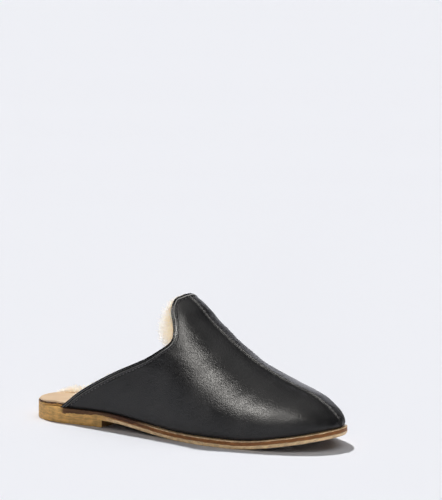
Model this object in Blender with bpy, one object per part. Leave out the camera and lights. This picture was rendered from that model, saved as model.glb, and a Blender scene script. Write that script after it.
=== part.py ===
"""Right shearling mule, empty and standing on its sole.

Metres. +X runs from heel to toe, +Y to the wearer's inner (medial) side, +Z up.
The origin is on the floor under the middle of the heel.

Every form is worked out from one last. Its skin is read by two shares: along,
0 at the heel's back and 1 at the toe's tip, and turn, -1 at the lateral feather
edge, 0 on the ridge of the instep and 1 at the medial feather edge.
"""

from math import pi
from typing import NamedTuple

import bmesh
import bpy
import numpy as np

# Sizes of the last and the sole
LENGTH = 0.280
BALL_WIDTH = 0.098
HEEL_CENTRE = 0.030
TAB_RISE = 0.105
TOE_SPRING = 0.0106

# Sizes of the sole's layers, from the floor up
HEEL_LIFT = 0.0059
HEEL_BLOCK = 0.073
OUTSOLE = 0.0064
INSOLE = 0.0022
SOCK = 0.0012
WELT = 0.0022
HEEL_BEVEL = 0.0006
LIP_BEVEL = 0.0005
EDGE_BEVEL = 0.0010
EDGE_BEVEL_RISE = 0.0024
SOCK_MARGIN = 0.0012

# Sizes of the upper, its seam and its binding
WALL = 0.0020
FLANK_SWELL = 0.0022
SEAM_WIDTH = 0.0032
SEAM_RISE = 0.0007
SEAM_STEP = 0.0003
SEAM_LIMIT = 0.9
BINDING = 0.0026
BINDING_NOSE = 0.0016
BINDING_PROUD = 0.0004

# Sizes of the fleece
PILE = 0.0070
LOCK_LENGTH = 0.0060
LOCK_DEPTH = 0.0009
LOCK_TAPER = 0.3
LOCKS_A_SIDE = 6
LINING_SETBACK = 0.0010

# Clearances: between pieces, between two faceted skins, and from the wall to the footbed
GAP = 0.0003
SKIN_GAP = 0.0006
FOOTBED_MARGIN = 0.0012

# Roundness of the outline's two ends and of the toe's profile, as shares and powers
HEEL_CAP = 0.14
HEEL_POWER = 2.3
TOE_CAP = 0.80
TOE_POWER = 2.2
CREST_CAP = 0.87
CREST_POWER = 2.2

# Fineness of the facets
HEEL_ROWS = 6
BODY_STEP = 0.02
TOE_ROWS = 8
UPPER_ROWS = 15
LINING_ROWS = 9
LINING_TOE_ROWS = 6
BINDING_RINGS = 84
BINDING_ARC = 6
FACETS_A_LOCK = 4
FLANK_FACETS = 7
SKIN_SAMPLES = 161
COLUMN_PASSES = 8
WELD = 1e-6


class Breadth(NamedTuple):
    """Half widths of the sole at one section, as shares of BALL_WIDTH."""

    along: float
    lateral: float
    medial: float


class Lift(NamedTuple):
    """Height of the outsole's underside at one section, as a share of its full rise."""

    along: float
    share: float


class Crest(NamedTuple):
    """Ridge of one section: its height as a share of TAB_RISE, and the powers of its curve."""

    along: float
    height: float
    shoulder: float
    lateral: float
    medial: float


class Collar(NamedTuple):
    """Where the topline crosses one turn of the last, as shares of LENGTH."""

    turn: float
    lateral: float
    medial: float


OUTLINE = [
    Breadth(0.00, 0.280, 0.285),
    Breadth(0.10, 0.280, 0.290),
    Breadth(0.22, 0.275, 0.290),
    Breadth(0.32, 0.297, 0.300),
    Breadth(0.42, 0.354, 0.335),
    Breadth(0.52, 0.431, 0.390),
    Breadth(0.62, 0.480, 0.450),
    Breadth(0.70, 0.492, 0.500),
    Breadth(0.78, 0.462, 0.495),
    Breadth(0.88, 0.398, 0.440),
    Breadth(1.00, 0.316, 0.340),
]

ARCH = [
    Lift(0.00, 1.0),
    Lift(0.24, 1.0),
    Lift(0.32, 0.82),
    Lift(0.40, 0.452),
    Lift(0.48, 0.157),
    Lift(0.56, 0.022),
    Lift(0.62, 0.0),
    Lift(1.00, 0.0),
]

SPRING = [
    Lift(0.00, 0.0),
    Lift(0.72, 0.0),
    Lift(0.78, 0.063),
    Lift(0.85, 0.30),
    Lift(0.92, 0.59),
    Lift(1.00, 1.0),
]

CRESTS = [
    Crest(0.000, 0.947, 2.00, 1.95, 2.10),
    Crest(0.400, 1.005, 1.95, 1.90, 2.20),
    Crest(0.462, 1.012, 2.10, 1.95, 2.70),
    Crest(0.507, 0.963, 2.25, 2.10, 2.95),
    Crest(0.574, 0.801, 2.25, 2.20, 2.75),
    Crest(0.640, 0.667, 2.15, 2.10, 2.20),
    Crest(0.706, 0.549, 2.15, 2.00, 1.95),
    Crest(0.772, 0.457, 2.25, 2.05, 2.05),
    Crest(0.840, 0.359, 2.35, 2.15, 2.15),
    Crest(0.920, 0.258, 2.40, 2.20, 2.20),
    Crest(1.000, 0.151, 2.30, 2.10, 2.10),
]

TOPLINE = [
    Collar(0.00, 0.484, 0.484),
    Collar(0.10, 0.480, 0.483),
    Collar(0.22, 0.468, 0.480),
    Collar(0.34, 0.473, 0.497),
    Collar(0.44, 0.494, 0.520),
    Collar(0.50, 0.500, 0.533),
    Collar(0.58, 0.483, 0.513),
    Collar(0.68, 0.393, 0.425),
    Collar(0.80, 0.275, 0.303),
    Collar(0.90, 0.182, 0.207),
    Collar(1.00, 0.112, 0.135),
]

# Turns at which the upper has a column of facets, closer together around the notch
COLUMNS = [
    0.05, 0.10, 0.16, 0.22, 0.28, 0.34, 0.39, 0.43, 0.46, 0.49,
    0.52, 0.55, 0.58, 0.61, 0.64, 0.67, 0.70, 0.74, 0.79, 0.85, 0.92, 1.00,
]

# Share of a turn at which the locks of fleece have died away into the plain flank
LOCKS_END = 0.56
LOCKS_FADE = 0.08

# Where the footbed narrows to pass inside the upper, behind the upper's rear corners
FOOTBED_NECK = (0.018, 0.006)


def smooth(rows, name, at):
    """Read a named column of a table by a cubic through its rows that keeps flats flat."""
    knots = np.array([row[0] for row in rows])
    values = np.array([getattr(row, name) for row in rows])
    at = np.clip(at, knots[0], knots[-1])
    span = np.diff(knots)
    slope = np.diff(values) / span
    middle = (slope[:-1] * span[1:] + slope[1:] * span[:-1]) / (span[:-1] + span[1:])
    middle[slope[:-1] * slope[1:] <= 0] = 0
    tangent = np.concatenate([slope[:1], middle, slope[-1:]])
    row = np.clip(np.searchsorted(knots, at, side="right") - 1, 0, len(knots) - 2)
    step = (at - knots[row]) / span[row]
    rest = 1 - step
    return (
        (1 + 2 * step) * rest**2 * values[row]
        + step * rest**2 * span[row] * tangent[row]
        + step**2 * (3 - 2 * step) * values[row + 1]
        - step**2 * rest * span[row] * tangent[row + 1]
    )


def ease(low, high, at):
    """Share that rises smoothly from 0 at low to 1 at high."""
    share = np.clip((at - low) / (high - low), 0, 1)
    return share * share * (3 - 2 * share)


def cap(reach, power):
    """Share that a rounded end leaves of a width, at a reach of 0 to 1 into that end."""
    return np.maximum(0, 1 - np.clip(reach, 0, 1) ** power) ** (1 / power)


def underside(along):
    """Height of the outsole's underside over the floor."""
    return HEEL_LIFT * smooth(ARCH, "share", along) + TOE_SPRING * smooth(SPRING, "share", along)


def seat(along):
    """Height of the outsole's top face over the floor."""
    return underside(along) + OUTSOLE


def half_width(along, turn, toe_inset, heel_inset):
    """Half width of the plan on the side that turn names, drawn in by an inset at each end."""
    lateral = smooth(OUTLINE, "lateral", along)
    medial = smooth(OUTLINE, "medial", along)
    width = BALL_WIDTH * np.where(turn < 0, lateral, medial)
    heel = heel_inset / LENGTH
    toe = 1 - toe_inset / LENGTH
    rounding = cap((HEEL_CAP - along) / (HEEL_CAP - heel), HEEL_POWER)
    rounding = rounding * cap((along - TOE_CAP) / (toe - TOE_CAP), TOE_POWER)
    inset = np.where(along > HEEL_CAP, toe_inset, heel_inset)
    return (width - inset) * rounding


def crest_slant(along):
    """How much longer a plumb line through the ridge is than a square one."""
    reach = 0.01
    rise = smooth(CRESTS, "height", along + reach) - smooth(CRESTS, "height", along - reach)
    return np.hypot(1, rise * TAB_RISE / (2 * reach * LENGTH))


def crest_height(along, depth):
    """Height of the ridge over the feather edge, for a skin depth under the outer one."""
    toe = 1 - (WELT + depth) / LENGTH
    height = TAB_RISE * smooth(CRESTS, "height", along) - depth * crest_slant(along)
    return height * cap((along - CREST_CAP) / (toe - CREST_CAP), CREST_POWER)


def flank_power(along, turn):
    """Power of a section's curve on the side that turn names."""
    lateral = smooth(CRESTS, "lateral", along)
    medial = smooth(CRESTS, "medial", along)
    return np.where(turn < 0, lateral, medial)


def skin(along, turn, depth=0.0):
    """Points on the last's skin, or on one that lies depth under it."""
    along, turn, depth = np.broadcast_arrays(along, turn, depth)
    around = np.clip(np.abs(turn), 0, 1)
    angle = around * pi / 2
    inset = WELT + depth
    width = half_width(along, turn, inset, inset)
    swell = FLANK_SWELL * np.sin(pi * around**2) * np.clip(width / (BALL_WIDTH / 5), 0, 1)
    flank = flank_power(along, turn)
    shoulder = smooth(CRESTS, "shoulder", along)
    sideways = width * np.sin(angle) ** (2 / flank) + swell
    upwards = crest_height(along, depth) * np.clip(np.cos(angle), 0, 1) ** (2 / shoulder)
    return np.stack(
        [
            along * LENGTH - HEEL_CENTRE,
            np.sign(turn) * sideways,
            seat(along) + GAP + upwards,
        ],
        axis=-1,
    )


def skin_normal(along, turn):
    """Outward normals of the last's skin."""
    reach = 0.004
    ahead = skin(along + reach, turn) - skin(along - reach, turn)
    across = skin(along, turn + reach) - skin(along, turn - reach)
    normal = np.cross(ahead, across)
    return normal / np.linalg.norm(normal, axis=-1, keepdims=True)


def topline(turn):
    """Where the topline crosses a turn, as a share of LENGTH."""
    lateral = smooth(TOPLINE, "lateral", np.abs(turn))
    medial = smooth(TOPLINE, "medial", np.abs(turn))
    return np.where(turn < 0, lateral, medial)


def line_ahead_of_topline(inward, depth):
    """Sampled turns, and the share along each at which a skin is inward from the topline."""
    turns = np.linspace(-1, 1, SKIN_SAMPLES)
    fine = np.linspace(-1, 1, 5 * SKIN_SAMPLES)
    edge = skin(topline(fine), fine) - depth * skin_normal(topline(fine), fine)
    reach = np.linspace(-depth / LENGTH, 4 * (inward + depth) / LENGTH, 2 * SKIN_SAMPLES)
    shares = []
    for turn in turns:
        candidates = topline(turn) + reach
        points = skin(candidates, turn, depth)
        away = np.linalg.norm(points[:, None] - edge[None], axis=2).min(axis=1)
        last = np.flatnonzero(away < inward)[-1]
        pair = slice(last, last + 2)
        shares.append(np.interp(inward, away[pair], candidates[pair]))
    return turns, np.array(shares)


def toe_shares(start, end, rows):
    """Shares from start to end that crowd together where the toe rounds off."""
    return start + (end - start) * np.sin(np.linspace(0, pi / 2, rows + 1)[1:])


def new_object(name, mesh, material):
    """Weld a bmesh, face it outward and put it in the scene under a name."""
    bmesh.ops.remove_doubles(mesh, verts=mesh.verts, dist=WELD)
    bmesh.ops.recalc_face_normals(mesh, faces=mesh.faces)
    data = bpy.data.meshes.new(name)
    mesh.to_mesh(data)
    mesh.free()
    data.shade_smooth()
    data.set_sharp_from_angle(angle=pi / 4)
    data.materials.append(material)
    part = bpy.data.objects.new(name, data)
    bpy.data.collections["shearling_mule"].objects.link(part)
    return part


def new_material(name, colour, roughness):
    """Plain finish: a colour and a roughness."""
    material = bpy.data.materials.new(name)
    material.use_nodes = True
    surface = material.node_tree.nodes["Principled BSDF"]
    surface.inputs["Base Color"].default_value = (*colour, 1)
    surface.inputs["Roughness"].default_value = roughness
    surface.inputs["Metallic"].default_value = 0
    return material


def build_shell(name, outer, inner, material):
    """Closed shell between two grids whose rows run from the topline to the toe's tip."""
    rows, columns = outer.shape[:2]
    mesh = bmesh.new()
    outer_verts = [[mesh.verts.new(point) for point in row] for row in outer]
    inner_verts = [[mesh.verts.new(point) for point in row] for row in inner]
    for row in range(rows - 1):
        for column in range(columns - 1):
            for grid in (outer_verts, inner_verts):
                near, far = grid[row], grid[row + 1]
                mesh.faces.new((near[column], near[column + 1], far[column + 1], far[column]))
    for column in range(columns - 1):
        near, far = outer_verts[0], inner_verts[0]
        mesh.faces.new((near[column], near[column + 1], far[column + 1], far[column]))
    for column in (0, columns - 1):
        for row in range(rows - 1):
            near, far = outer_verts[row : row + 2], inner_verts[row : row + 2]
            mesh.faces.new((near[0][column], near[1][column], far[1][column], far[0][column]))
    return new_object(name, mesh, material)


def build_stack(name, rings, material):
    """Closed plate from rings of equal length, bottom one first, capped straight across."""
    mesh = bmesh.new()
    loops = [[mesh.verts.new(point) for point in ring] for ring in rings]
    count = len(loops[0])
    for low, high in zip(loops, loops[1:]):
        for here in range(count):
            after = (here + 1) % count
            mesh.faces.new((low[here], low[after], high[after], high[here]))
    for loop in (loops[0], loops[-1]):
        mesh.faces.new((loop[0], loop[1], loop[-1]))
        for here in range(1, count // 2):
            mesh.faces.new((loop[here], loop[here + 1], loop[-here - 1], loop[-here]))
    return new_object(name, mesh, material)


def outline_ring(along, lateral, medial, height):
    """Ring of points: the lateral side from heel to toe, then the medial side back."""
    x = along * LENGTH - HEEL_CENTRE
    there = np.stack([x, -lateral, height], axis=-1)
    back = np.stack([x, medial, height], axis=-1)
    return np.concatenate([there, back[:0:-1]])


def sole_shares(heel_inset, toe_inset, end=1.0):
    """Shares along the sole, crowded where heel and toe round off, up to an end."""
    heel = heel_inset / LENGTH
    turns = np.linspace(0, pi / 2, HEEL_ROWS + 1)[:-1]
    rounded = heel + (HEEL_CAP - heel) * (1 - np.cos(turns))
    limit = min(TOE_CAP, end)
    body = np.linspace(HEEL_CAP, limit, round((limit - HEEL_CAP) / BODY_STEP) + 1)
    if end < TOE_CAP:
        return np.concatenate([rounded, body])
    return np.concatenate([rounded, body, toe_shares(TOE_CAP, 1 - toe_inset / LENGTH, TOE_ROWS)])


def even_ring(inset, height, end=1.0):
    """Ring drawn in from the sole's outline by one inset, at a height that follows along."""
    along = sole_shares(inset, inset, end)
    lateral = half_width(along, -1, inset, inset)
    medial = half_width(along, 1, inset, inset)
    return outline_ring(along, lateral, medial, height(along))


def footbed_ring(heel_inset, height):
    """Ring that is flush at the open heel and runs inside the upper ahead of its corners."""
    inside = WELT + WALL + FOOTBED_MARGIN
    along = sole_shares(heel_inset, inside)
    widths = []
    for side, corner in ((-1, TOPLINE[-1].lateral), (1, TOPLINE[-1].medial)):
        tucked = half_width(along, side, inside, inside)
        flush = half_width(along, side, inside, heel_inset)
        flush = flush + np.where(along > HEEL_CAP, inside - heel_inset, 0)
        narrowing = ease(corner - FOOTBED_NECK[0] / LENGTH, corner - FOOTBED_NECK[1] / LENGTH, along)
        widths.append(flush + (tucked - flush) * narrowing)
    return outline_ring(along, widths[0], widths[1], height(along))


def build_heel_lift():
    """Flat block under the heel, with its front face at HEEL_BLOCK."""
    end = HEEL_BLOCK / LENGTH
    rings = [
        even_ring(HEEL_BEVEL, lambda along: 0 * along, end - HEEL_BEVEL / LENGTH),
        even_ring(0, lambda along: 0 * along + HEEL_BEVEL, end),
        even_ring(0, lambda along: underside(along) - GAP, end),
    ]
    finish = new_material("heel_leather", (0.36, 0.22, 0.10), 0.55)
    return build_stack("heel_lift", rings, finish)


def build_outsole():
    """Outsole with its arch and toe spring, a bevel under its edge and a small one above."""
    rings = [
        even_ring(EDGE_BEVEL, underside),
        even_ring(0, lambda along: underside(along) + EDGE_BEVEL_RISE),
        even_ring(0, lambda along: seat(along) - LIP_BEVEL),
        even_ring(LIP_BEVEL, seat),
    ]
    finish = new_material("sole_leather", (0.25, 0.13, 0.05), 0.5)
    return build_stack("outsole", rings, finish)


def build_insole():
    """Leather board on the outsole, under the foot."""
    rings = [
        footbed_ring(0, lambda along: seat(along) + GAP),
        footbed_ring(0, lambda along: seat(along) + GAP + INSOLE),
    ]
    finish = new_material("insole_leather", (0.36, 0.22, 0.10), 0.55)
    return build_stack("insole", rings, finish)


def footbed_height():
    """Height of the sock's top over the outsole's top."""
    return GAP + INSOLE + GAP + SOCK


def build_sock():
    """Soft cover that the foot stands on."""
    rings = [
        footbed_ring(SOCK_MARGIN, lambda along: seat(along) + footbed_height() - SOCK),
        footbed_ring(SOCK_MARGIN, lambda along: seat(along) + footbed_height()),
    ]
    finish = new_material("sock_leather", (0.70, 0.52, 0.36), 0.7)
    return build_stack("sock", rings, finish)


def seam_edge(along, side, reach):
    """Turn, without its sign, at which the skin lies reach to one side of the ridge."""
    width = np.maximum(half_width(along, side, WELT, WELT), WELD)
    share = np.minimum(reach / width, SEAM_LIMIT)
    return np.arcsin(share ** (flank_power(along, side) / 2)) * 2 / pi


def column_turn(index, side, along):
    """Turn, without its sign, of one column of the upper: ridge, seam, step, then the flank."""
    if index == 0:
        return np.zeros_like(along)
    if index == 1:
        return seam_edge(along, side, SEAM_WIDTH / 2)
    step = seam_edge(along, side, SEAM_WIDTH / 2 + SEAM_STEP)
    if index == 2:
        return step
    first = np.maximum(COLUMNS[0], step * COLUMNS[1] / COLUMNS[0] / 2 + step / 2)
    stretch = (COLUMNS[index - 3] - COLUMNS[0]) / (COLUMNS[-1] - COLUMNS[0])
    return np.minimum(first + (1 - first) * stretch, 1)


def upper_column(index, side, rim, inner):
    """Points of one column of the upper, outside or inside, from its rim to the toe's tip."""
    proud = 0.0 if inner or index > 1 else SEAM_RISE
    depth = WALL if inner else -proud
    tip = toe_shares(TOE_CAP, 1 - (WELT + depth) / LENGTH, TOE_ROWS)
    along = np.full(UPPER_ROWS + TOE_ROWS, TOE_CAP)
    for _ in range(COLUMN_PASSES):
        around = column_turn(index, side, along)
        start = np.interp(side * around[0], *rim) + proud / LENGTH
        along = np.concatenate([np.linspace(start, TOE_CAP, UPPER_ROWS), tip])
    return skin(along, side * around, depth)


def build_upper():
    """Hollow upper in one wall, open at the topline and underneath, with a raised centre seam."""
    count = len(COLUMNS) + 3
    grids = []
    for inner in (False, True):
        rim = line_ahead_of_topline(BINDING + SKIN_GAP, WALL if inner else 0.0)
        lateral = [upper_column(index, -1, rim, inner) for index in range(count - 1, 0, -1)]
        medial = [upper_column(index, 1, rim, inner) for index in range(count)]
        grids.append(np.stack(lateral + medial, axis=1))
    finish = new_material("black_leather", (0.018, 0.017, 0.018), 0.38)
    return build_shell("upper", grids[0], grids[1], finish)


def build_binding():
    """Rolled leather edge that follows the whole topline, from corner to corner."""
    fine = np.linspace(-1, 1, 8 * SKIN_SAMPLES)
    path = skin(topline(fine), fine)
    run = np.concatenate([[0], np.cumsum(np.linalg.norm(np.diff(path, axis=0), axis=1))])
    turns = np.interp(np.linspace(0, run[-1], BINDING_RINGS), run, fine)
    along = topline(turns)
    points = skin(along, turns)
    tangent = np.gradient(points, axis=0)
    normal = skin_normal(along, turns)
    inward = np.cross(tangent, normal)
    inward = inward / np.linalg.norm(inward, axis=1, keepdims=True)
    half = (WALL + BINDING_PROUD) / 2
    angles = np.linspace(-pi / 2, pi / 2, BINDING_ARC)
    profile = [(BINDING_NOSE * (1 - np.cos(angle)), half * np.sin(angle)) for angle in angles]
    profile = profile + [(BINDING, half), (BINDING, -half)]
    mesh = bmesh.new()
    rings = []
    for index, point in enumerate(points):
        ring = []
        for ahead, out in profile:
            place = point + ahead * inward[index] + (out + half - WALL) * normal[index]
            share = (place[0] + HEEL_CENTRE) / LENGTH
            place[2] = max(place[2], float(seat(share)) + GAP)
            ring.append(mesh.verts.new(place))
        rings.append(ring)
    count = len(profile)
    for near, far in zip(rings, rings[1:]):
        for here in range(count):
            after = (here + 1) % count
            mesh.faces.new((near[here], near[after], far[after], far[here]))
    mesh.faces.new(rings[0])
    mesh.faces.new(rings[-1])
    finish = new_material("black_binding", (0.015, 0.014, 0.015), 0.4)
    return new_object("topline_binding", mesh, finish)


def lining_end(depth, rise):
    """Share along at which the skin at this depth comes down to a rise over the feather edge."""
    shares = np.linspace(CREST_CAP, 1 - (WELT + depth) / LENGTH, 20 * SKIN_SAMPLES)
    heights = crest_height(shares, depth)
    return shares[np.flatnonzero(heights > rise)[-1]]


def lining_columns():
    """Turn shares of the lining's columns, fine where locks of fleece stand."""
    locked = np.linspace(0, LOCKS_END, LOCKS_A_SIDE * FACETS_A_LOCK + 1)
    flank = np.linspace(LOCKS_END, 1, FLANK_FACETS + 1)[1:]
    side = np.concatenate([locked, flank])
    return np.concatenate([-side[:0:-1], side])


def lining_depth(inner, wave, lock):
    """Depth under the last's skin of one column of the lining, row by row from its rim."""
    rows = np.arange(LINING_ROWS + LINING_TOE_ROWS)
    tip = (rows == 0) * LOCK_TAPER * PILE
    face = WALL + SKIN_GAP
    if not inner:
        return face + tip
    tufted = (rows > 0) & (rows < LINING_ROWS // 2)
    return face + PILE - tip + LOCK_DEPTH * wave * lock * tufted


def lining_column(share, inner, rise):
    """Points of one column of the lining, from the tips of its locks to the end of its toe."""
    wave = np.cos(2 * pi * LOCKS_A_SIDE * share / LOCKS_END)
    lock = 1 - ease(LOCKS_END - LOCKS_FADE, LOCKS_END, abs(share))
    depth = lining_depth(inner, wave, lock)
    reach = LOCK_LENGTH * (1 - LOCK_TAPER + LOCK_TAPER * wave) * lock
    setback = LINING_SETBACK * (1 - lock)
    tip = toe_shares(TOE_CAP, lining_end(depth[-1], rise), LINING_TOE_ROWS)
    turn = np.full(len(depth), share)
    for _ in range(COLUMN_PASSES):
        start = topline(turn[0]) + (setback - reach) / LENGTH
        along = np.concatenate([np.linspace(start, TOE_CAP, LINING_ROWS), tip])
        height = np.maximum(crest_height(along, depth), WELD)
        shoulder = smooth(CRESTS, "shoulder", along)
        limit = np.arccos(np.clip(rise / height, 0, 1) ** (shoulder / 2)) * 2 / pi
        turn = share * limit
    turn[-1] = 0
    return skin(along, turn, depth)


def build_lining():
    """Fleece inside the upper: a thick shell whose locks stand out behind the tab."""
    rise = footbed_height() + SKIN_GAP
    grids = []
    for inner in (False, True):
        columns = [lining_column(share, inner, rise) for share in lining_columns()]
        grids.append(np.stack(columns, axis=1))
    finish = new_material("fleece", (0.78, 0.72, 0.60), 0.95)
    return build_shell("shearling_lining", grids[0], grids[1], finish)


def main():
    """Build every piece of the mule in a scene that starts empty."""
    for old in list(bpy.data.objects):
        bpy.data.objects.remove(old)
    collection = bpy.data.collections.new("shearling_mule")
    bpy.context.scene.collection.children.link(collection)
    build_heel_lift()
    build_outsole()
    build_insole()
    build_sock()
    build_upper()
    build_binding()
    build_lining()


main()
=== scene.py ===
"""Looks of a right shearling mule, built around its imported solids.

Metres, in the solids' own frame: +X runs from heel to toe, +Y to the wearer's
inner (medial) side and +Z up, with the origin on the floor under the heel.
"""

import logging
from collections.abc import Sequence
from dataclasses import dataclass, field
from enum import Enum
from math import cos, pi, radians, sin
from typing import NamedTuple

import bmesh
import bpy
import numpy as np
from mathutils import Matrix, Vector


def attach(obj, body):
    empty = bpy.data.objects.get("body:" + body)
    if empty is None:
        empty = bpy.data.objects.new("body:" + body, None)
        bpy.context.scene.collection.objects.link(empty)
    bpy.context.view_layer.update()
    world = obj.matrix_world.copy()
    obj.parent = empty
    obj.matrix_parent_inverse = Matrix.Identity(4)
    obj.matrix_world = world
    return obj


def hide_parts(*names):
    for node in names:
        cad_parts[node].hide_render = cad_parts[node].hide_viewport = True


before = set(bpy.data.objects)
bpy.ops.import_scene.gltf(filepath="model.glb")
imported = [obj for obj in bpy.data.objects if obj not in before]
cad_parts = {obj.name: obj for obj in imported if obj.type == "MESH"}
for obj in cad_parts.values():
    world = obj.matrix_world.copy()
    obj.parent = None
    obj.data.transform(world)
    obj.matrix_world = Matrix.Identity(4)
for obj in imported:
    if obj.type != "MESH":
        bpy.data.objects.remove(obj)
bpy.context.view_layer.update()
BODY = "root"
WELD = 1e-6

Array = np.ndarray
log = logging.getLogger("mule")


class Slot(Enum):
    """Material slots of the record."""

    HEEL = "heel_leather"
    SOLE = "sole_leather"
    INSOLE = "insole_leather"
    SOCK = "sock_leather"
    UPPER = "black_leather"
    BINDING = "black_binding"
    FLEECE = "fleece"


class Side(Enum):
    """Sign of Y on each side of the shoe."""

    LATERAL = -1
    MEDIAL = 1


class Breadth(NamedTuple):
    """Half widths of the sole at one section, as shares of the ball's width."""

    along: float
    lateral: float
    medial: float


class Lift(NamedTuple):
    """Height of the outsole's underside at one section, as a share of its full rise."""

    along: float
    share: float


class Crest(NamedTuple):
    """Ridge of one section: its height as a share of the tab's, and the powers of its curve."""

    along: float
    height: float
    shoulder: float
    lateral: float
    medial: float


class Collar(NamedTuple):
    """Where the topline crosses one turn of the last, as shares of the length."""

    turn: float
    lateral: float
    medial: float


OUTLINE = (
    Breadth(0.00, 0.280, 0.285),
    Breadth(0.10, 0.280, 0.290),
    Breadth(0.22, 0.275, 0.290),
    Breadth(0.32, 0.297, 0.300),
    Breadth(0.42, 0.354, 0.335),
    Breadth(0.52, 0.431, 0.390),
    Breadth(0.62, 0.480, 0.450),
    Breadth(0.70, 0.492, 0.500),
    Breadth(0.78, 0.462, 0.495),
    Breadth(0.88, 0.398, 0.440),
    Breadth(1.00, 0.316, 0.340),
)

ARCH = (
    Lift(0.00, 1.0),
    Lift(0.24, 1.0),
    Lift(0.32, 0.82),
    Lift(0.40, 0.452),
    Lift(0.48, 0.157),
    Lift(0.56, 0.022),
    Lift(0.62, 0.0),
    Lift(1.00, 0.0),
)

SPRING = (
    Lift(0.00, 0.0),
    Lift(0.72, 0.0),
    Lift(0.78, 0.063),
    Lift(0.85, 0.30),
    Lift(0.92, 0.59),
    Lift(1.00, 1.0),
)

CRESTS = (
    Crest(0.000, 0.947, 2.00, 1.95, 2.10),
    Crest(0.400, 1.005, 1.95, 1.90, 2.20),
    Crest(0.462, 1.012, 2.10, 1.95, 2.70),
    Crest(0.507, 0.963, 2.25, 2.10, 2.95),
    Crest(0.574, 0.801, 2.25, 2.20, 2.75),
    Crest(0.640, 0.667, 2.15, 2.10, 2.20),
    Crest(0.706, 0.549, 2.15, 2.00, 1.95),
    Crest(0.772, 0.457, 2.25, 2.05, 2.05),
    Crest(0.840, 0.359, 2.35, 2.15, 2.15),
    Crest(0.920, 0.258, 2.40, 2.20, 2.20),
    Crest(1.000, 0.151, 2.30, 2.10, 2.10),
)

TOPLINE = (
    Collar(0.00, 0.484, 0.484),
    Collar(0.10, 0.480, 0.483),
    Collar(0.22, 0.468, 0.480),
    Collar(0.34, 0.473, 0.497),
    Collar(0.44, 0.494, 0.520),
    Collar(0.50, 0.500, 0.533),
    Collar(0.58, 0.483, 0.513),
    Collar(0.68, 0.393, 0.425),
    Collar(0.80, 0.275, 0.303),
    Collar(0.90, 0.182, 0.207),
    Collar(1.00, 0.112, 0.135),
)


def smooth(rows: Sequence[NamedTuple], name: str, at: Array | float) -> Array:
    """Read a named column of a table by a cubic that keeps its flats flat.

    Args:
        rows: Table whose first column rises.
        name: Column to read.
        at: Places along the first column.

    Returns:
        The column's value at each place.
    """
    knots = np.array([row[0] for row in rows])
    values = np.array([getattr(row, name) for row in rows])
    at = np.clip(at, knots[0], knots[-1])
    span = np.diff(knots)
    slope = np.diff(values) / span
    middle = (slope[:-1] * span[1:] + slope[1:] * span[:-1]) / (span[:-1] + span[1:])
    middle[slope[:-1] * slope[1:] <= 0] = 0
    tangent = np.concatenate([slope[:1], middle, slope[-1:]])
    row = np.clip(np.searchsorted(knots, at, side="right") - 1, 0, len(knots) - 2)
    step = (at - knots[row]) / span[row]
    rest = 1 - step
    return (
        (1 + 2 * step) * rest**2 * values[row]
        + step * rest**2 * span[row] * tangent[row]
        + step**2 * (3 - 2 * step) * values[row + 1]
        - step**2 * rest * span[row] * tangent[row + 1]
    )


def ease(low: float, high: float, at: Array | float) -> Array:
    """Share that rises smoothly from 0 at low to 1 at high."""
    share = np.clip((at - low) / (high - low), 0, 1)
    return share * share * (3 - 2 * share)


def bell(at: Array, centre: float | Array, width: float) -> Array:
    """Soft hump of height 1 round a centre."""
    return np.exp(-(((at - centre) / width) ** 2))


def cap(reach: Array, power: float) -> Array:
    """Share that a rounded end leaves of a width, at a reach of 0 to 1 into that end."""
    return np.maximum(0, 1 - np.clip(reach, 0, 1) ** power) ** (1 / power)


def crowded(start: float | Array, end: float | Array, rows: int) -> Array:
    """Rows of values from after start up to end that crowd together at the end."""
    shares = np.sin(np.linspace(0, pi / 2, rows + 1)[1:])
    shares = shares.reshape(-1, *([1] * np.ndim(start)))
    return start + (np.asarray(end) - start) * shares


def run_length(points: Array) -> Array:
    """Length run along a line of points, at each of them."""
    steps = np.linalg.norm(np.diff(points, axis=0), axis=-1)
    return np.concatenate([np.zeros_like(steps[:1]), np.cumsum(steps, axis=0)])


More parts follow.
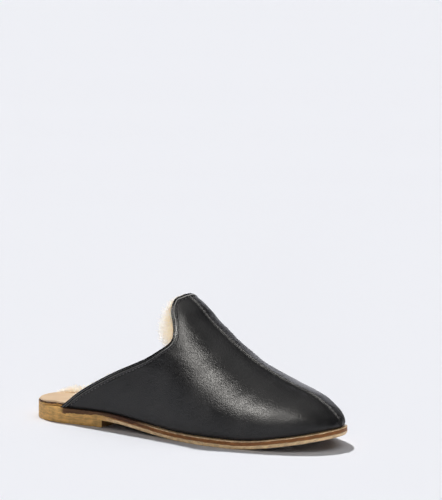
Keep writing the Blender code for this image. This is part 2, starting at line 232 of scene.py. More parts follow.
@dataclass(frozen=True)
class Last:
    """Skin of the last that every piece follows, read by a share along and a turn around."""

    length: float = 0.280
    ball_width: float = 0.098
    heel_centre: float = 0.030
    tab_rise: float = 0.105
    toe_spring: float = 0.0106
    heel_lift: float = 0.0059
    heel_block: float = 0.073
    outsole: float = 0.0064
    insole: float = 0.0022
    sock: float = 0.0012
    welt: float = 0.0022
    wall: float = 0.0020
    flank_swell: float = 0.0022
    gap: float = 0.0003
    skin_gap: float = 0.0006
    heel_cap: float = 0.14
    heel_power: float = 2.3
    toe_cap: float = 0.80
    toe_power: float = 2.2
    crest_cap: float = 0.87
    crest_power: float = 2.2

    def underside(self, along: Array) -> Array:
        """Height of the outsole's underside over the floor."""
        arch = self.heel_lift * smooth(ARCH, "share", along)
        return arch + self.toe_spring * smooth(SPRING, "share", along)

    def seat(self, along: Array) -> Array:
        """Height of the outsole's top face over the floor."""
        return self.underside(along) + self.outsole

    def footbed(self) -> float:
        """Height of the sock's top over the outsole's top."""
        return 2 * self.gap + self.insole + self.sock

    def half_width(self, along: Array, turn: Array, toe_inset: Array, heel_inset: Array) -> Array:
        """Half width of the plan on one side.

        Args:
            along: Shares of the length.
            turn: Turns, of which the sign names the side.
            toe_inset: How far the plan is drawn in, from the heel's rounding forward.
            heel_inset: How far it is drawn in round the heel.

        Returns:
            Half widths in metres.
        """
        lateral = smooth(OUTLINE, "lateral", along)
        medial = smooth(OUTLINE, "medial", along)
        width = self.ball_width * np.where(np.asarray(turn) < 0, lateral, medial)
        heel = heel_inset / self.length
        toe = 1 - toe_inset / self.length
        rounding = cap((self.heel_cap - along) / (self.heel_cap - heel), self.heel_power)
        rounding = rounding * cap((along - self.toe_cap) / (toe - self.toe_cap), self.toe_power)
        inset = np.where(along > self.heel_cap, toe_inset, heel_inset)
        return (width - inset) * rounding

    def crest_height(self, along: Array, depth: Array | float) -> Array:
        """Height of the ridge over the feather edge, for a skin depth under the outer one."""
        reach = 0.01
        ahead = smooth(CRESTS, "height", along + reach)
        behind = smooth(CRESTS, "height", along - reach)
        slant = np.hypot(1, (ahead - behind) * self.tab_rise / (2 * reach * self.length))
        toe = 1 - (self.welt + depth) / self.length
        height = self.tab_rise * smooth(CRESTS, "height", along) - depth * slant
        return height * cap((along - self.crest_cap) / (toe - self.crest_cap), self.crest_power)

    def flank_power(self, along: Array, turn: Array) -> Array:
        """Power of a section's curve on the side that turn names."""
        lateral = smooth(CRESTS, "lateral", along)
        medial = smooth(CRESTS, "medial", along)
        return np.where(np.asarray(turn) < 0, lateral, medial)

    def skin(self, along: Array, turn: Array, depth: Array | float = 0.0) -> Array:
        """Points on the last's skin.

        Args:
            along: Shares of the length.
            turn: -1 at the lateral feather edge, 0 on the ridge, 1 at the medial one.
            depth: How far under the outer skin.

        Returns:
            Points, with their three coordinates on the last axis.
        """
        along, turn, depth = np.broadcast_arrays(along, turn, depth)
        around = np.clip(np.abs(turn), 0, 1)
        angle = around * pi / 2
        inset = self.welt + depth
        width = self.half_width(along, turn, inset, inset)
        room = np.clip(width / (self.ball_width / 5), 0, 1)
        swell = self.flank_swell * np.sin(pi * around**2) * room
        sideways = width * np.sin(angle) ** (2 / self.flank_power(along, turn)) + swell
        shoulder = smooth(CRESTS, "shoulder", along)
        upwards = np.clip(np.cos(angle), 0, 1) ** (2 / shoulder)
        upwards = self.crest_height(along, depth) * upwards
        return np.stack(
            [
                along * self.length - self.heel_centre,
                np.sign(turn) * sideways,
                self.seat(along) + self.gap + upwards,
            ],
            axis=-1,
        )

    def normal(self, along: Array, turn: Array) -> Array:
        """Outward normals of the skin."""
        reach = 0.004
        ahead = self.skin(along + reach, turn) - self.skin(along - reach, turn)
        across = self.skin(along, turn + reach) - self.skin(along, turn - reach)
        return unit(np.cross(ahead, across))

    def topline(self, turn: Array) -> Array:
        """Where the topline crosses a turn, as a share of the length."""
        lateral = smooth(TOPLINE, "lateral", np.abs(turn))
        medial = smooth(TOPLINE, "medial", np.abs(turn))
        return np.where(np.asarray(turn) < 0, lateral, medial)

    def topline_turns(self, count: int) -> Array:
        """Turns that are evenly spaced along the topline, from corner to corner."""
        fine = np.linspace(-1, 1, 2001)
        run = run_length(self.skin(self.topline(fine), fine))
        return np.interp(np.linspace(0, run[-1], count), run, fine)

    def ahead_of_topline(self, offsets: Array, samples: int = 201) -> tuple[Array, Array]:
        """Lines on the skin at set distances ahead of the topline.

        Args:
            offsets: Distances from the topline, rising.
            samples: How many turns are sampled.

        Returns:
            The sampled turns, and a row of shares along for each offset.
        """
        turns = np.linspace(-1, 1, samples)
        fine = np.linspace(-1, 1, 4 * samples)
        edge = self.skin(self.topline(fine), fine)
        reach = np.linspace(0, 4 * offsets[-1] / self.length, 2 * samples)
        lines = np.empty((len(offsets), samples))
        for column, turn in enumerate(turns):
            candidates = self.topline(turn) + reach
            points = self.skin(candidates, turn)
            away = np.linalg.norm(points[:, None] - edge[None], axis=2).min(axis=1)
            away = np.maximum.accumulate(away)
            lines[:, column] = np.interp(offsets, away, candidates)
        return turns, lines

    def seam_turn(self, along: Array, side: int, reach: Array) -> Array:
        """Turn, without its sign, at which the skin lies reach to one side of the ridge."""
        width = np.maximum(self.half_width(along, side, self.welt, self.welt), WELD)
        share = np.minimum(reach / width, 0.9)
        return np.arcsin(share ** (self.flank_power(along, side) / 2)) * 2 / pi


def unit(vectors: Array) -> Array:
    """Vectors brought to length 1."""
    return vectors / np.maximum(np.linalg.norm(vectors, axis=-1, keepdims=True), 1e-12)


def grid_normals(points: Array) -> Array:
    """Normals of a grid of points, by the cross of its rows and columns."""
    return unit(np.cross(np.gradient(points, axis=0), np.gradient(points, axis=1)))


@dataclass
class Patch:
    """Grid of points, with a place in metres for each on the piece's own map."""

    points: Array
    places: Array | None = None

    def __post_init__(self) -> None:
        """Give a patch with no map one that follows the lengths of its rows and columns."""
        if self.places is None:
            across = run_length(np.swapaxes(self.points, 0, 1)).T
            down = run_length(self.points)
            self.places = np.stack([across, down], axis=-1)


def new_piece(name: str, patches: Sequence[Patch], sharp: float = 40) -> bpy.types.Object:
    """Weld patches into one closed mesh and put it in the scene.

    Args:
        name: The piece's name.
        patches: Grids that share their borders.
        sharp: Angle in degrees past which an edge is shaded sharp.

    Returns:
        The new object, at the origin.
    """
    points = np.concatenate([patch.points.reshape(-1, 3) for patch in patches])
    places = np.concatenate([patch.places.reshape(-1, 2) for patch in patches])
    faces = []
    start = 0
    for patch in patches:
        rows, columns = patch.points.shape[:2]
        index = start + np.arange(rows * columns).reshape(rows, columns)
        corners = (index[:-1, :-1], index[:-1, 1:], index[1:, 1:], index[1:, :-1])
        faces.append(np.stack(corners, axis=-1).reshape(-1, 4))
        start += rows * columns
    mesh = bpy.data.meshes.new(name)
    mesh.from_pydata(points.tolist(), [], np.concatenate(faces).tolist())
    loops = np.empty(len(mesh.loops), dtype=np.int32)
    mesh.loops.foreach_get("vertex_index", loops)
    layer = mesh.uv_layers.new(name="surface")
    layer.data.foreach_set("uv", places[loops].astype(np.float32).ravel())
    work = bmesh.new()
    work.from_mesh(mesh)
    bmesh.ops.remove_doubles(work, verts=work.verts, dist=WELD)
    bmesh.ops.recalc_face_normals(work, faces=work.faces)
    work.to_mesh(mesh)
    work.free()
    mesh.shade_smooth()
    mesh.set_sharp_from_angle(angle=radians(sharp))
    piece = bpy.data.objects.new(name, mesh)
    bpy.context.scene.collection.objects.link(piece)
    return piece


def settle(piece: bpy.types.Object, slot: Slot, *nodes: str) -> bpy.types.Object:
    """Let a finished piece ride on the shoe and stand for its solids."""
    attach(piece, BODY)
    if nodes:
        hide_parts(*nodes)
    piece.data.calc_loop_triangles()
    log.info("%s: %d triangles", piece.name, len(piece.data.loop_triangles))
    return piece


@dataclass
class Graph:
    """Short way to add and join the nodes of one tree."""

    tree: bpy.types.NodeTree

    def add(self, kind: str, inputs: dict | None = None, **settings: object) -> bpy.types.Node:
        """Add a node.

        Args:
            kind: Blender's name for the node's type.
            inputs: A value, or a socket to join, for each named or numbered input.
            settings: Properties of the node.

        Returns:
            The new node.
        """
        node = self.tree.nodes.new(kind)
        for name, value in settings.items():
            setattr(node, name, value)
        for key, value in (inputs or {}).items():
            if isinstance(value, bpy.types.NodeSocket):
                self.tree.links.new(value, node.inputs[key])
            else:
                node.inputs[key].default_value = value
        return node

    def math(self, operation: str, first: object, second: object = 0.0) -> bpy.types.NodeSocket:
        """Output of a Math node on two values or sockets."""
        node = self.add("ShaderNodeMath", {0: first, 1: second}, operation=operation)
        return node.outputs[0]

    def spread(self, value: object, low: float, high: float, start: float, end: float) -> bpy.types.NodeSocket:
        """Value mapped smoothly from low..high to start..end."""
        inputs = {"Value": value, "From Min": low, "From Max": high, "To Min": start, "To Max": end}
        node = self.add("ShaderNodeMapRange", inputs, interpolation_type="SMOOTHSTEP")
        return node.outputs["Result"]

    def blend(self, share: object, first: object, second: object) -> bpy.types.NodeSocket:
        """Colour between two colours or sockets."""
        node = self.add("ShaderNodeMix", data_type="RGBA")
        for key, value in ((0, share), (6, first), (7, second)):
            if isinstance(value, bpy.types.NodeSocket):
                self.tree.links.new(value, node.inputs[key])
            else:
                node.inputs[key].default_value = value
        return node.outputs[2]

    def noise(self, vector: object, scale: float, detail: float = 2.0) -> bpy.types.NodeSocket:
        """Plain noise, 0 to 1."""
        inputs = {"Vector": vector, "Scale": scale, "Detail": detail}
        return self.add("ShaderNodeTexNoise", inputs).outputs["Fac"]


def tint(red: float, green: float, blue: float) -> tuple[float, float, float, float]:
    """Linear colour from one written in the eight-bit steps of a screen."""
    shares = (red / 255, green / 255, blue / 255)
    linear = [((c + 0.055) / 1.055) ** 2.4 if c > 0.04045 else c / 12.92 for c in shares]
    return (*linear, 1.0)


def shader_group(name: str, inputs: dict[str, float], outputs: Sequence[str]) -> tuple[Graph, dict, dict]:
    """Start a shader node group.

    Args:
        name: The group's name.
        inputs: Default of each named value input; Vector is there always.
        outputs: Names of the value outputs.

    Returns:
        The group's graph, its input sockets and its output sockets by name.
    """
    tree = bpy.data.node_groups.new(name, "ShaderNodeTree")
    tree.interface.new_socket("Vector", in_out="INPUT", socket_type="NodeSocketVector")
    for key, value in inputs.items():
        socket = tree.interface.new_socket(key, in_out="INPUT", socket_type="NodeSocketFloat")
        socket.default_value = value
    for key in outputs:
        tree.interface.new_socket(key, in_out="OUTPUT", socket_type="NodeSocketFloat")
    graph = Graph(tree)
    source = graph.add("NodeGroupInput")
    sink = graph.add("NodeGroupOutput")
    into = {key: source.outputs[key] for key in ("Vector", *inputs)}
    out = {key: sink.inputs[key] for key in outputs}
    return graph, into, out


def leather_grain() -> bpy.types.NodeTree:
    """Group for leather: pebbled height, and a slow mottle for colour and gloss."""
    graph, into, out = shader_group("leather_grain", {"Pebble": 900.0}, ("Height", "Mottle"))
    warp = graph.add("ShaderNodeTexNoise", {"Vector": into["Vector"], "Scale": 300.0})
    bend = graph.add("ShaderNodeVectorMath", {0: warp.outputs["Color"]}, operation="SCALE")
    bend.inputs["Scale"].default_value = 0.0012
    place = graph.add("ShaderNodeVectorMath", {0: into["Vector"], 1: bend.outputs[0]}, operation="ADD")
    cells = graph.add(
        "ShaderNodeTexVoronoi",
        {"Vector": place.outputs[0], "Scale": into["Pebble"], "Smoothness": 0.6},
        feature="SMOOTH_F1",
    )
    fine = graph.noise(into["Vector"], 2600.0, 3.0)
    domes = graph.math("SUBTRACT", 1.0, cells.outputs["Distance"])
    height = graph.math("ADD", graph.math("MULTIPLY", domes, 0.75), graph.math("MULTIPLY", fine, 0.35))
    graph.tree.links.new(height, out["Height"])
    mottle = graph.noise(into["Vector"], 45.0, 4.0)
    graph.tree.links.new(mottle, out["Mottle"])
    return graph.tree


def fibre_streaks() -> bpy.types.NodeTree:
    """Group for a cut leather edge: fibres that run along U and are thin across V."""
    graph, into, out = shader_group("fibre_streaks", {"Fineness": 1.0}, ("Height", "Streak", "Blotch"))
    place = graph.add("ShaderNodeMapping", {"Vector": into["Vector"], "Scale": (190.0, 620.0, 190.0)})
    scaled = graph.add("ShaderNodeTexNoise", {"Vector": place.outputs[0], "Scale": into["Fineness"]})
    scaled.inputs["Detail"].default_value = 5.0
    scaled.inputs["Roughness"].default_value = 0.65
    graph.tree.links.new(scaled.outputs["Fac"], out["Streak"])
    blotch = graph.noise(into["Vector"], 160.0, 4.0)
    graph.tree.links.new(blotch, out["Blotch"])
    height = graph.math("ADD", scaled.outputs["Fac"], graph.math("MULTIPLY", blotch, 0.6))
    graph.tree.links.new(height, out["Height"])
    return graph.tree


@dataclass(frozen=True)
class Groups:
    """Shader node groups that the finishes share."""

    grain: bpy.types.NodeTree
    streaks: bpy.types.NodeTree


def new_finish(name: str) -> tuple[bpy.types.Material, Graph, bpy.types.Node]:
    """Start a material with an empty Principled surface."""
    material = bpy.data.materials.new(name)
    material.use_nodes = True
    graph = Graph(material.node_tree)
    return material, graph, material.node_tree.nodes["Principled BSDF"]


def set_values(node: bpy.types.Node, **values: float) -> None:
    """Set named inputs of a node, with an underscore for each space."""
    for name, value in values.items():
        node.inputs[name.replace("_", " ")].default_value = value


@dataclass(frozen=True)
class LeatherFinish:
    """Smooth dyed leather with a fine pebble."""

    name: str
    dark: tuple[float, float, float]
    light: tuple[float, float, float]
    gloss: tuple[float, float] = (0.30, 0.46)
    pebble: float = 1200.0
    relief: float = 0.72
    shine: float = 0.4
    # Pale colour painted along the cord's crest high on the tab: a painted highlight.
    painted_highlight: tuple[float, float, float] | None = None

    def material(self, groups: Groups) -> bpy.types.Material:
        """Build the material."""
        material, graph, surface = new_finish(self.name)
        place = graph.add("ShaderNodeTexCoord").outputs["Object"]
        grain = graph.add("ShaderNodeGroup", node_tree=groups.grain)
        graph.tree.links.new(place, grain.inputs["Vector"])
        grain.inputs["Pebble"].default_value = self.pebble
        mottle = grain.outputs["Mottle"]
        share = graph.spread(mottle, 0.3, 0.7, 0.0, 1.0)
        colour = graph.blend(share, tint(*self.dark), tint(*self.light))
        if self.painted_highlight:
            # Painted highlight: the cord's crest turns pale where the tab stands highest.
            high = graph.spread(graph.add("ShaderNodeSeparateXYZ", {0: place}).outputs["Z"], 0.064, 0.086, 0.12, 1.0)
            crest_map = graph.add("ShaderNodeUVMap", uv_map="surface").outputs[0]
            crest = graph.spread(graph.add("ShaderNodeSeparateXYZ", {0: crest_map}).outputs["Y"], 0.45, 0.8, 0.0, 1.0)
            colour = graph.blend(graph.math("MULTIPLY", high, crest), colour, tint(*self.painted_highlight))
        rough = graph.spread(mottle, 0.25, 0.75, self.gloss[0], self.gloss[1])
        bump = graph.add("ShaderNodeBump", {"Height": grain.outputs["Height"]})
        set_values(bump, Strength=self.relief, Distance=0.00032)
        links = graph.tree.links
        links.new(colour, surface.inputs["Base Color"])
        links.new(rough, surface.inputs["Roughness"])
        links.new(bump.outputs[0], surface.inputs["Normal"])
        set_values(surface, Specular_IOR_Level=self.shine)
        return material


@dataclass(frozen=True)
class EdgeFinish:
    """Cut leather edge: tan at the heel, burnished ahead of it, with paler corners painted as the highlight of its
    rounded bevel and top lip.
    """

    name: str
    tan: tuple[float, float, float]
    # Pale colour of the bevel and top lip: a painted highlight of these rounded corners.
    pale: tuple[float, float, float]
    burnish: tuple[float, float, float]
    dark: tuple[float, float, float]
    underside: tuple[float, float, float] = (104, 82, 62)
    burnish_from: tuple[float, float] = (0.040, 0.060)
    bevel: float = 0.0029
    lip: float = 0.0058
    lip_from: tuple[float, float] = (0.070, 0.100)
    band: float = 0.0027
    band_reach: tuple[float, float, float, float] = (0.003, 0.0065, 0.070, 0.105)
    band_thins: tuple[float, float] = (0.018, 0.034)
    # X from which the edge is painted dark: painted shade on the heel's breast face under the arch.
    painted_breast_shade: float = 1.0
    roughness: float = 0.5
    relief: float = 0.6

    def material(self, groups: Groups) -> bpy.types.Material:
        """Build the material."""
        material, graph, surface = new_finish(self.name)
        links = graph.tree.links
        place = graph.add("ShaderNodeUVMap", uv_map="surface").outputs[0]
        whole = graph.add("ShaderNodeTexCoord").outputs["Object"]
        streaks = graph.add("ShaderNodeGroup", node_tree=groups.streaks)
        links.new(place, streaks.inputs["Vector"])
        up = graph.add("ShaderNodeSeparateXYZ", {0: place}).outputs["Y"]
        ahead = graph.add("ShaderNodeSeparateXYZ", {0: whole}).outputs["X"]
        blotch = graph.math("SUBTRACT", streaks.outputs["Blotch"], 0.5)
        ragged = graph.math("ADD", up, graph.math("MULTIPLY", blotch, 0.0045))
        height = graph.math("ADD", up, graph.math("MULTIPLY", blotch, 0.0012))
        share = graph.spread(ahead, self.burnish_from[0], self.burnish_from[1], 0.0, 1.0)
        # The pale bevel and lip below paint the highlight these rounded corners catch.
        bevel = graph.spread(height, self.bevel - 0.0005, self.bevel + 0.0004, 0.0, 1.0)
        lip = graph.spread(height, self.lip - 0.0003, self.lip + 0.0003, 0.0, 1.0)
        lipped = graph.spread(ahead, self.lip_from[0], self.lip_from[1], 0.0, 0.85)
        worked = graph.blend(bevel, tint(*self.pale), tint(*self.burnish))
        worked = graph.blend(graph.math("MULTIPLY", lip, lipped), worked, tint(*self.pale))
        colour = graph.blend(share, tint(*self.tan), worked)
        # Darker brown band just under the upper's edge, with a ragged lower border.
        low, rise, fall, high = self.band_reach
        near = graph.spread(ahead, low, rise, 0.0, 1.0)
        near = graph.math("MULTIPLY", near, graph.spread(ahead, fall, high, 1.0, 0.0))
        thin = graph.spread(ahead, self.band_thins[0], self.band_thins[1], 0.0, 1.0)
        ragged = graph.math("SUBTRACT", ragged, graph.math("MULTIPLY", thin, 0.0012))
        band_mask = graph.spread(ragged, self.band - 0.0003, self.band + 0.0003, 0.0, 0.92)
        topped = graph.math("MULTIPLY", lipped, graph.spread(up, 0.0057, 0.0060, 0.0, 1.0))
        under = graph.math("MULTIPLY", band_mask, graph.math("SUBTRACT", 1.0, topped))
        colour = graph.blend(graph.math("MULTIPLY", near, under), colour, tint(*self.dark))
        # Painted shade: the breast face under the arch is darkened.
        colour = graph.blend(graph.spread(ahead, self.painted_breast_shade, self.painted_breast_shade + 0.0004, 0.0, 0.8), colour, tint(*self.dark))
        below = graph.spread(up, 0.00002, 0.0002, 1.0, 0.0)
        colour = graph.blend(graph.math("MULTIPLY", below, 0.9), colour, tint(*self.underside))
        shade = graph.spread(streaks.outputs["Streak"], 0.3, 0.7, 0.78, 1.20)
        shade = graph.math("MULTIPLY", shade, graph.spread(streaks.outputs["Blotch"], 0.32, 0.66, 0.86, 1.12))
        streaked = graph.add("ShaderNodeVectorMath", {0: colour, "Scale": shade}, operation="SCALE")
        links.new(streaked.outputs[0], surface.inputs["Base Color"])
        rough = graph.spread(streaks.outputs["Blotch"], 0.3, 0.7, self.roughness - 0.08, self.roughness + 0.1)
        links.new(rough, surface.inputs["Roughness"])
        bump = graph.add("ShaderNodeBump", {"Height": streaks.outputs["Height"]})
        set_values(bump, Strength=self.relief, Distance=0.0002)
        links.new(bump.outputs[0], surface.inputs["Normal"])
        set_values(surface, Specular_IOR_Level=0.25)
        return material


@dataclass(frozen=True)
class SuedeFinish:
    """Soft undyed leather that the foot stands on."""

    name: str
    pale: tuple[float, float, float]
    warm: tuple[float, float, float]

    def material(self, groups: Groups) -> bpy.types.Material:
        """Build the material."""
        material, graph, surface = new_finish(self.name)
        place = graph.add("ShaderNodeTexCoord").outputs["Object"]
        grain = graph.add("ShaderNodeGroup", node_tree=groups.grain)
        links = graph.tree.links
        links.new(place, grain.inputs["Vector"])
        grain.inputs["Pebble"].default_value = 1300.0
        drawn = graph.add("ShaderNodeMapping", {"Vector": place, "Scale": (30.0, 90.0, 30.0)})
        streak = graph.noise(drawn.outputs[0], 1.0, 3.0)
        streak = graph.math("MULTIPLY", streak, 0.45)
        share = graph.math("ADD", streak, graph.math("MULTIPLY", grain.outputs["Mottle"], 0.55))
        share = graph.spread(share, 0.3, 0.7, 0.0, 1.0)
        links.new(graph.blend(share, tint(*self.warm), tint(*self.pale)), surface.inputs["Base Color"])
        bump = graph.add("ShaderNodeBump", {"Height": grain.outputs["Height"]})
        set_values(bump, Strength=0.35, Distance=0.0002)
        links.new(bump.outputs[0], surface.inputs["Normal"])
        set_values(surface, Roughness=0.72, Sheen_Weight=0.15, Sheen_Roughness=0.5)
        return material


@dataclass(frozen=True)
class FleeceFinish:
    """Wool of a shearling, deeper in colour at its root than at its tips."""

    name: str
    root: tuple[float, float, float]
    tip: tuple[float, float, float]
    fibres: bool = False
    scatter: float = 0.003
    # Strength of a painted glow: emission standing in for light scattered between the fibres.
    glow: float = 0.0

    def material(self) -> bpy.types.Material:
        """Build the material."""
        material, graph, surface = new_finish(self.name)
        links = graph.tree.links
        place = graph.add("ShaderNodeTexCoord").outputs["Object"]
        tone = graph.noise(place, 220.0, 3.0)
        if self.fibres:
            up = graph.add("ShaderNodeAttribute", attribute_name="tip").outputs["Fac"]
        else:
            curl = graph.add(
                "ShaderNodeTexNoise", {"Vector": place, "Scale": 700.0, "Detail": 5.0, "Distortion": 2.0}
            )
            up = graph.spread(curl.outputs["Fac"], 0.35, 0.65, 0.0, 0.8)
            bump = graph.add("ShaderNodeBump", {"Height": curl.outputs["Fac"]})
            set_values(bump, Strength=0.9, Distance=0.0009)
            links.new(bump.outputs[0], surface.inputs["Normal"])
        share = graph.math("ADD", up, graph.math("MULTIPLY", graph.math("SUBTRACT", tone, 0.5), 0.8))
        share = graph.spread(share, 0.0, 0.9, 0.0, 1.0)
        colour = graph.blend(share, tint(*self.root), tint(*self.tip))
        links.new(colour, surface.inputs["Base Color"])
        # Painted glow: the wool emits its own colour to stand in for light scattered between fibres.
        links.new(colour, surface.inputs["Emission Color"])
        set_values(surface, Roughness=0.9, Sheen_Weight=0.3, Sheen_Roughness=0.4, Specular_IOR_Level=0.15)
        set_values(surface, Subsurface_Weight=1.0, Subsurface_Scale=self.scatter, Emission_Strength=self.glow)
        surface.inputs["Subsurface Radius"].default_value = (1.0, 0.85, 0.7)
        return material


class Crease(NamedTuple):
    """Soft trough in the upper: its centre, its run in degrees from +X, and its sizes."""

    along: float
    turn: float
    heading: float
    length: float
    width: float
    depth: float


CREASES = (
    Crease(0.545, 0.600, -8, 0.0150, 0.0011, 0.00030),
    Crease(0.560, 0.565, -14, 0.0130, 0.0010, 0.00028),
    Crease(0.552, 0.635, 4, 0.0120, 0.0010, 0.00026),
    Crease(0.575, 0.530, -20, 0.0110, 0.0010, 0.00022),
    Crease(0.580, 0.600, -2, 0.0120, 0.0009, 0.00022),
    Crease(0.600, 0.560, -12, 0.0100, 0.0010, 0.00018),
    Crease(0.570, 0.670, 14, 0.0140, 0.0013, 0.00030),
    Crease(0.590, 0.705, 20, 0.0150, 0.0014, 0.00026),
    Crease(0.535, -0.560, -6, 0.0090, 0.0012, 0.00012),
    Crease(0.550, -0.600, 6, 0.0100, 0.0013, 0.00010),
)


@dataclass
class Upper:
    """Leather upper in one wall, with its seam strip, turned edge and soft wrinkles."""

    last: Last
    rim: float = 0.00285
    bead_width: float = 0.0011
    bead_rise: float = 0.00006
    groove: float = 0.0019
    groove_depth: float = 0.00028
    seam_half: float = 0.0016
    seam_step: float = 0.0003
    seam_rise: float = 0.0005
    seam_groove: float = 0.0011
    tuck: float = 0.0011
    undulation: float = 0.00016
    body_rows: int = 84
    toe_rows: int = 30
    flank_columns: int = 104

    def seam_reaches(self) -> Array:
        """Distances from the ridge at which the seam strip has a column of its own."""
        shares = np.array([0, 0.09, 0.2, 0.35, 0.5, 0.62, 0.74, 0.88, 1.0])
        return np.concatenate([shares * self.seam_half, self.seam_half + self.seam_step * np.array([0.5, 1, 1.8])])

    def rim_offsets(self) -> Array:
        """Distances ahead of the topline at which the turned edge has a row of its own."""
        return self.rim + np.array([0, 1, 2.5, 4.5, 7, 9.5, 12, 14.5, 17, 19.5, 22, 26, 31, 38]) * 1e-4

    def side_grid(self, side: Side) -> tuple[Array, Array]:
        """Shares and signed turns of one half of the upper, ridge first.

        Args:
            side: Half to lay out.

        Returns:
            Two grids, rows from the rim to the toe's tip.
        """
        offsets = self.rim_offsets()
        samples, lines = self.last.ahead_of_topline(offsets)
        reaches = self.seam_reaches()
        count = len(reaches) + self.flank_columns
        fine = np.linspace(0, 1, 801)
        edge = run_length(self.last.skin(self.last.topline(side.value * fine), side.value * fine))
        middle = run_length(self.last.skin(0.66, side.value * fine))
        measure = 0.5 * edge / edge[-1] + 0.5 * middle / middle[-1]
        flank = np.interp(np.linspace(0, 1, self.flank_columns + 1)[1:], measure, fine)
        tip = crowded(np.full(count, self.last.toe_cap), 1 - self.last.welt / self.last.length, self.toe_rows)
        rows = len(offsets) + self.body_rows + self.toe_rows
        along = np.full((rows, count), self.last.toe_cap)
        for _ in range(8):
            seam = self.last.seam_turn(along[:, : len(reaches)], side.value, reaches[None])
            spread = seam[:, -1:] + (1 - seam[:, -1:]) * flank[None]
            turn = np.concatenate([seam, spread], axis=1)
            starts = [np.interp(side.value * turn[k], samples, lines[k]) for k in range(len(offsets))]
            body = np.linspace(starts[-1], self.last.toe_cap, self.body_rows + 1)[1:]
            along = np.concatenate([starts, body, tip])
        return along, side.value * turn

    def relief(self, along: Array, turn: Array, points: Array) -> Array:
        """Height of every soft form over the plain skin."""
        last = self.last
        rows = along.shape[0]
        offsets = self.rim_offsets() - self.rim
        ahead = np.concatenate([offsets, np.full(rows - len(offsets), 1.0)])[:, None]
        away = np.abs(last.skin(along, turn)[..., 1])
        strip = 1 - ease(self.seam_half - self.seam_step / 2, self.seam_half + self.seam_step, away)
        height = self.seam_rise * strip
        height = height - self.seam_groove * bell(away, 0, 0.00034)
        height = height - 0.00036 * bell(away, 0.00105, 0.00026)
        height = height + self.bead_rise * bell(ahead, self.bead_width / 2, self.bead_width / 2)
        height = height - self.groove_depth * bell(ahead, self.groove, 0.0005)
        rise = points[..., 2] - last.seat(along) - last.gap
        height = height - self.tuck * np.exp(-rise / 0.0009)
        x, y, z = (points[..., axis] for axis in range(3))
        waves = np.sin(190 * x + 110 * z + 2 * np.sin(90 * z)) * np.sin(230 * z - 120 * x + 60 * y + 1)
        waves = waves + 0.2 * np.sin(420 * x - 260 * z + 2) * np.sin(390 * z + 150 * y)
        height = height + self.undulation * waves * ease(0, 0.008, away - self.seam_half)
        for crease in CREASES:
            height = height - self.trough(crease, points)
        return height

    def trough(self, crease: Crease, points: Array) -> Array:
        """Depth of one crease at each point, with a low lip on both sides."""
        centre = self.last.skin(crease.along, crease.turn)
        outward = self.last.normal(crease.along, crease.turn)
        ahead = unit(np.cross(np.cross(outward, [1.0, 0.0, 0.0]), outward))
        upward = np.cross(outward, ahead) * np.sign(crease.turn)
        run = cos(radians(crease.heading)) * ahead + sin(radians(crease.heading)) * upward
        away = points - centre
        beside = away @ np.cross(outward, run)
        near = bell(away @ run, 0, crease.length / 2) * bell(away @ outward, 0, 0.012)
        valley = bell(beside, 0, crease.width)
        lips = bell(beside, 0, 2.2 * crease.width)
        return crease.depth * near * (1.5 * valley - 0.7 * lips)

    def build(self, finish: bpy.types.Material) -> bpy.types.Object:
        """Build the piece and let it stand for its solid."""
        grids = [self.side_grid(side) for side in (Side.LATERAL, Side.MEDIAL)]
        along = np.concatenate([grids[0][0][:, :0:-1], grids[1][0]], axis=1)
        turn = np.concatenate([grids[0][1][:, :0:-1], grids[1][1]], axis=1)
        base = self.last.skin(along, turn)
        normals = grid_normals(base)
        ridge = base.shape[1] // 2
        normals *= np.sign(normals[0, ridge, 2])
        normals[-1] = (1, 0, 0)
        height = self.relief(along, turn, base)
        height[-1] = 0
        outer = base + height[..., None] * normals
        inner = base - self.last.wall * normals
        rim = Patch(np.stack([outer[0], inner[0]]))
        feet = [Patch(np.stack([outer[:, edge], inner[:, edge]])) for edge in (0, -1)]
        piece = new_piece("upper_leather", [Patch(outer), Patch(inner), rim, *feet])
        piece.data.materials.append(finish)
        return settle(piece, Slot.UPPER, "upper")


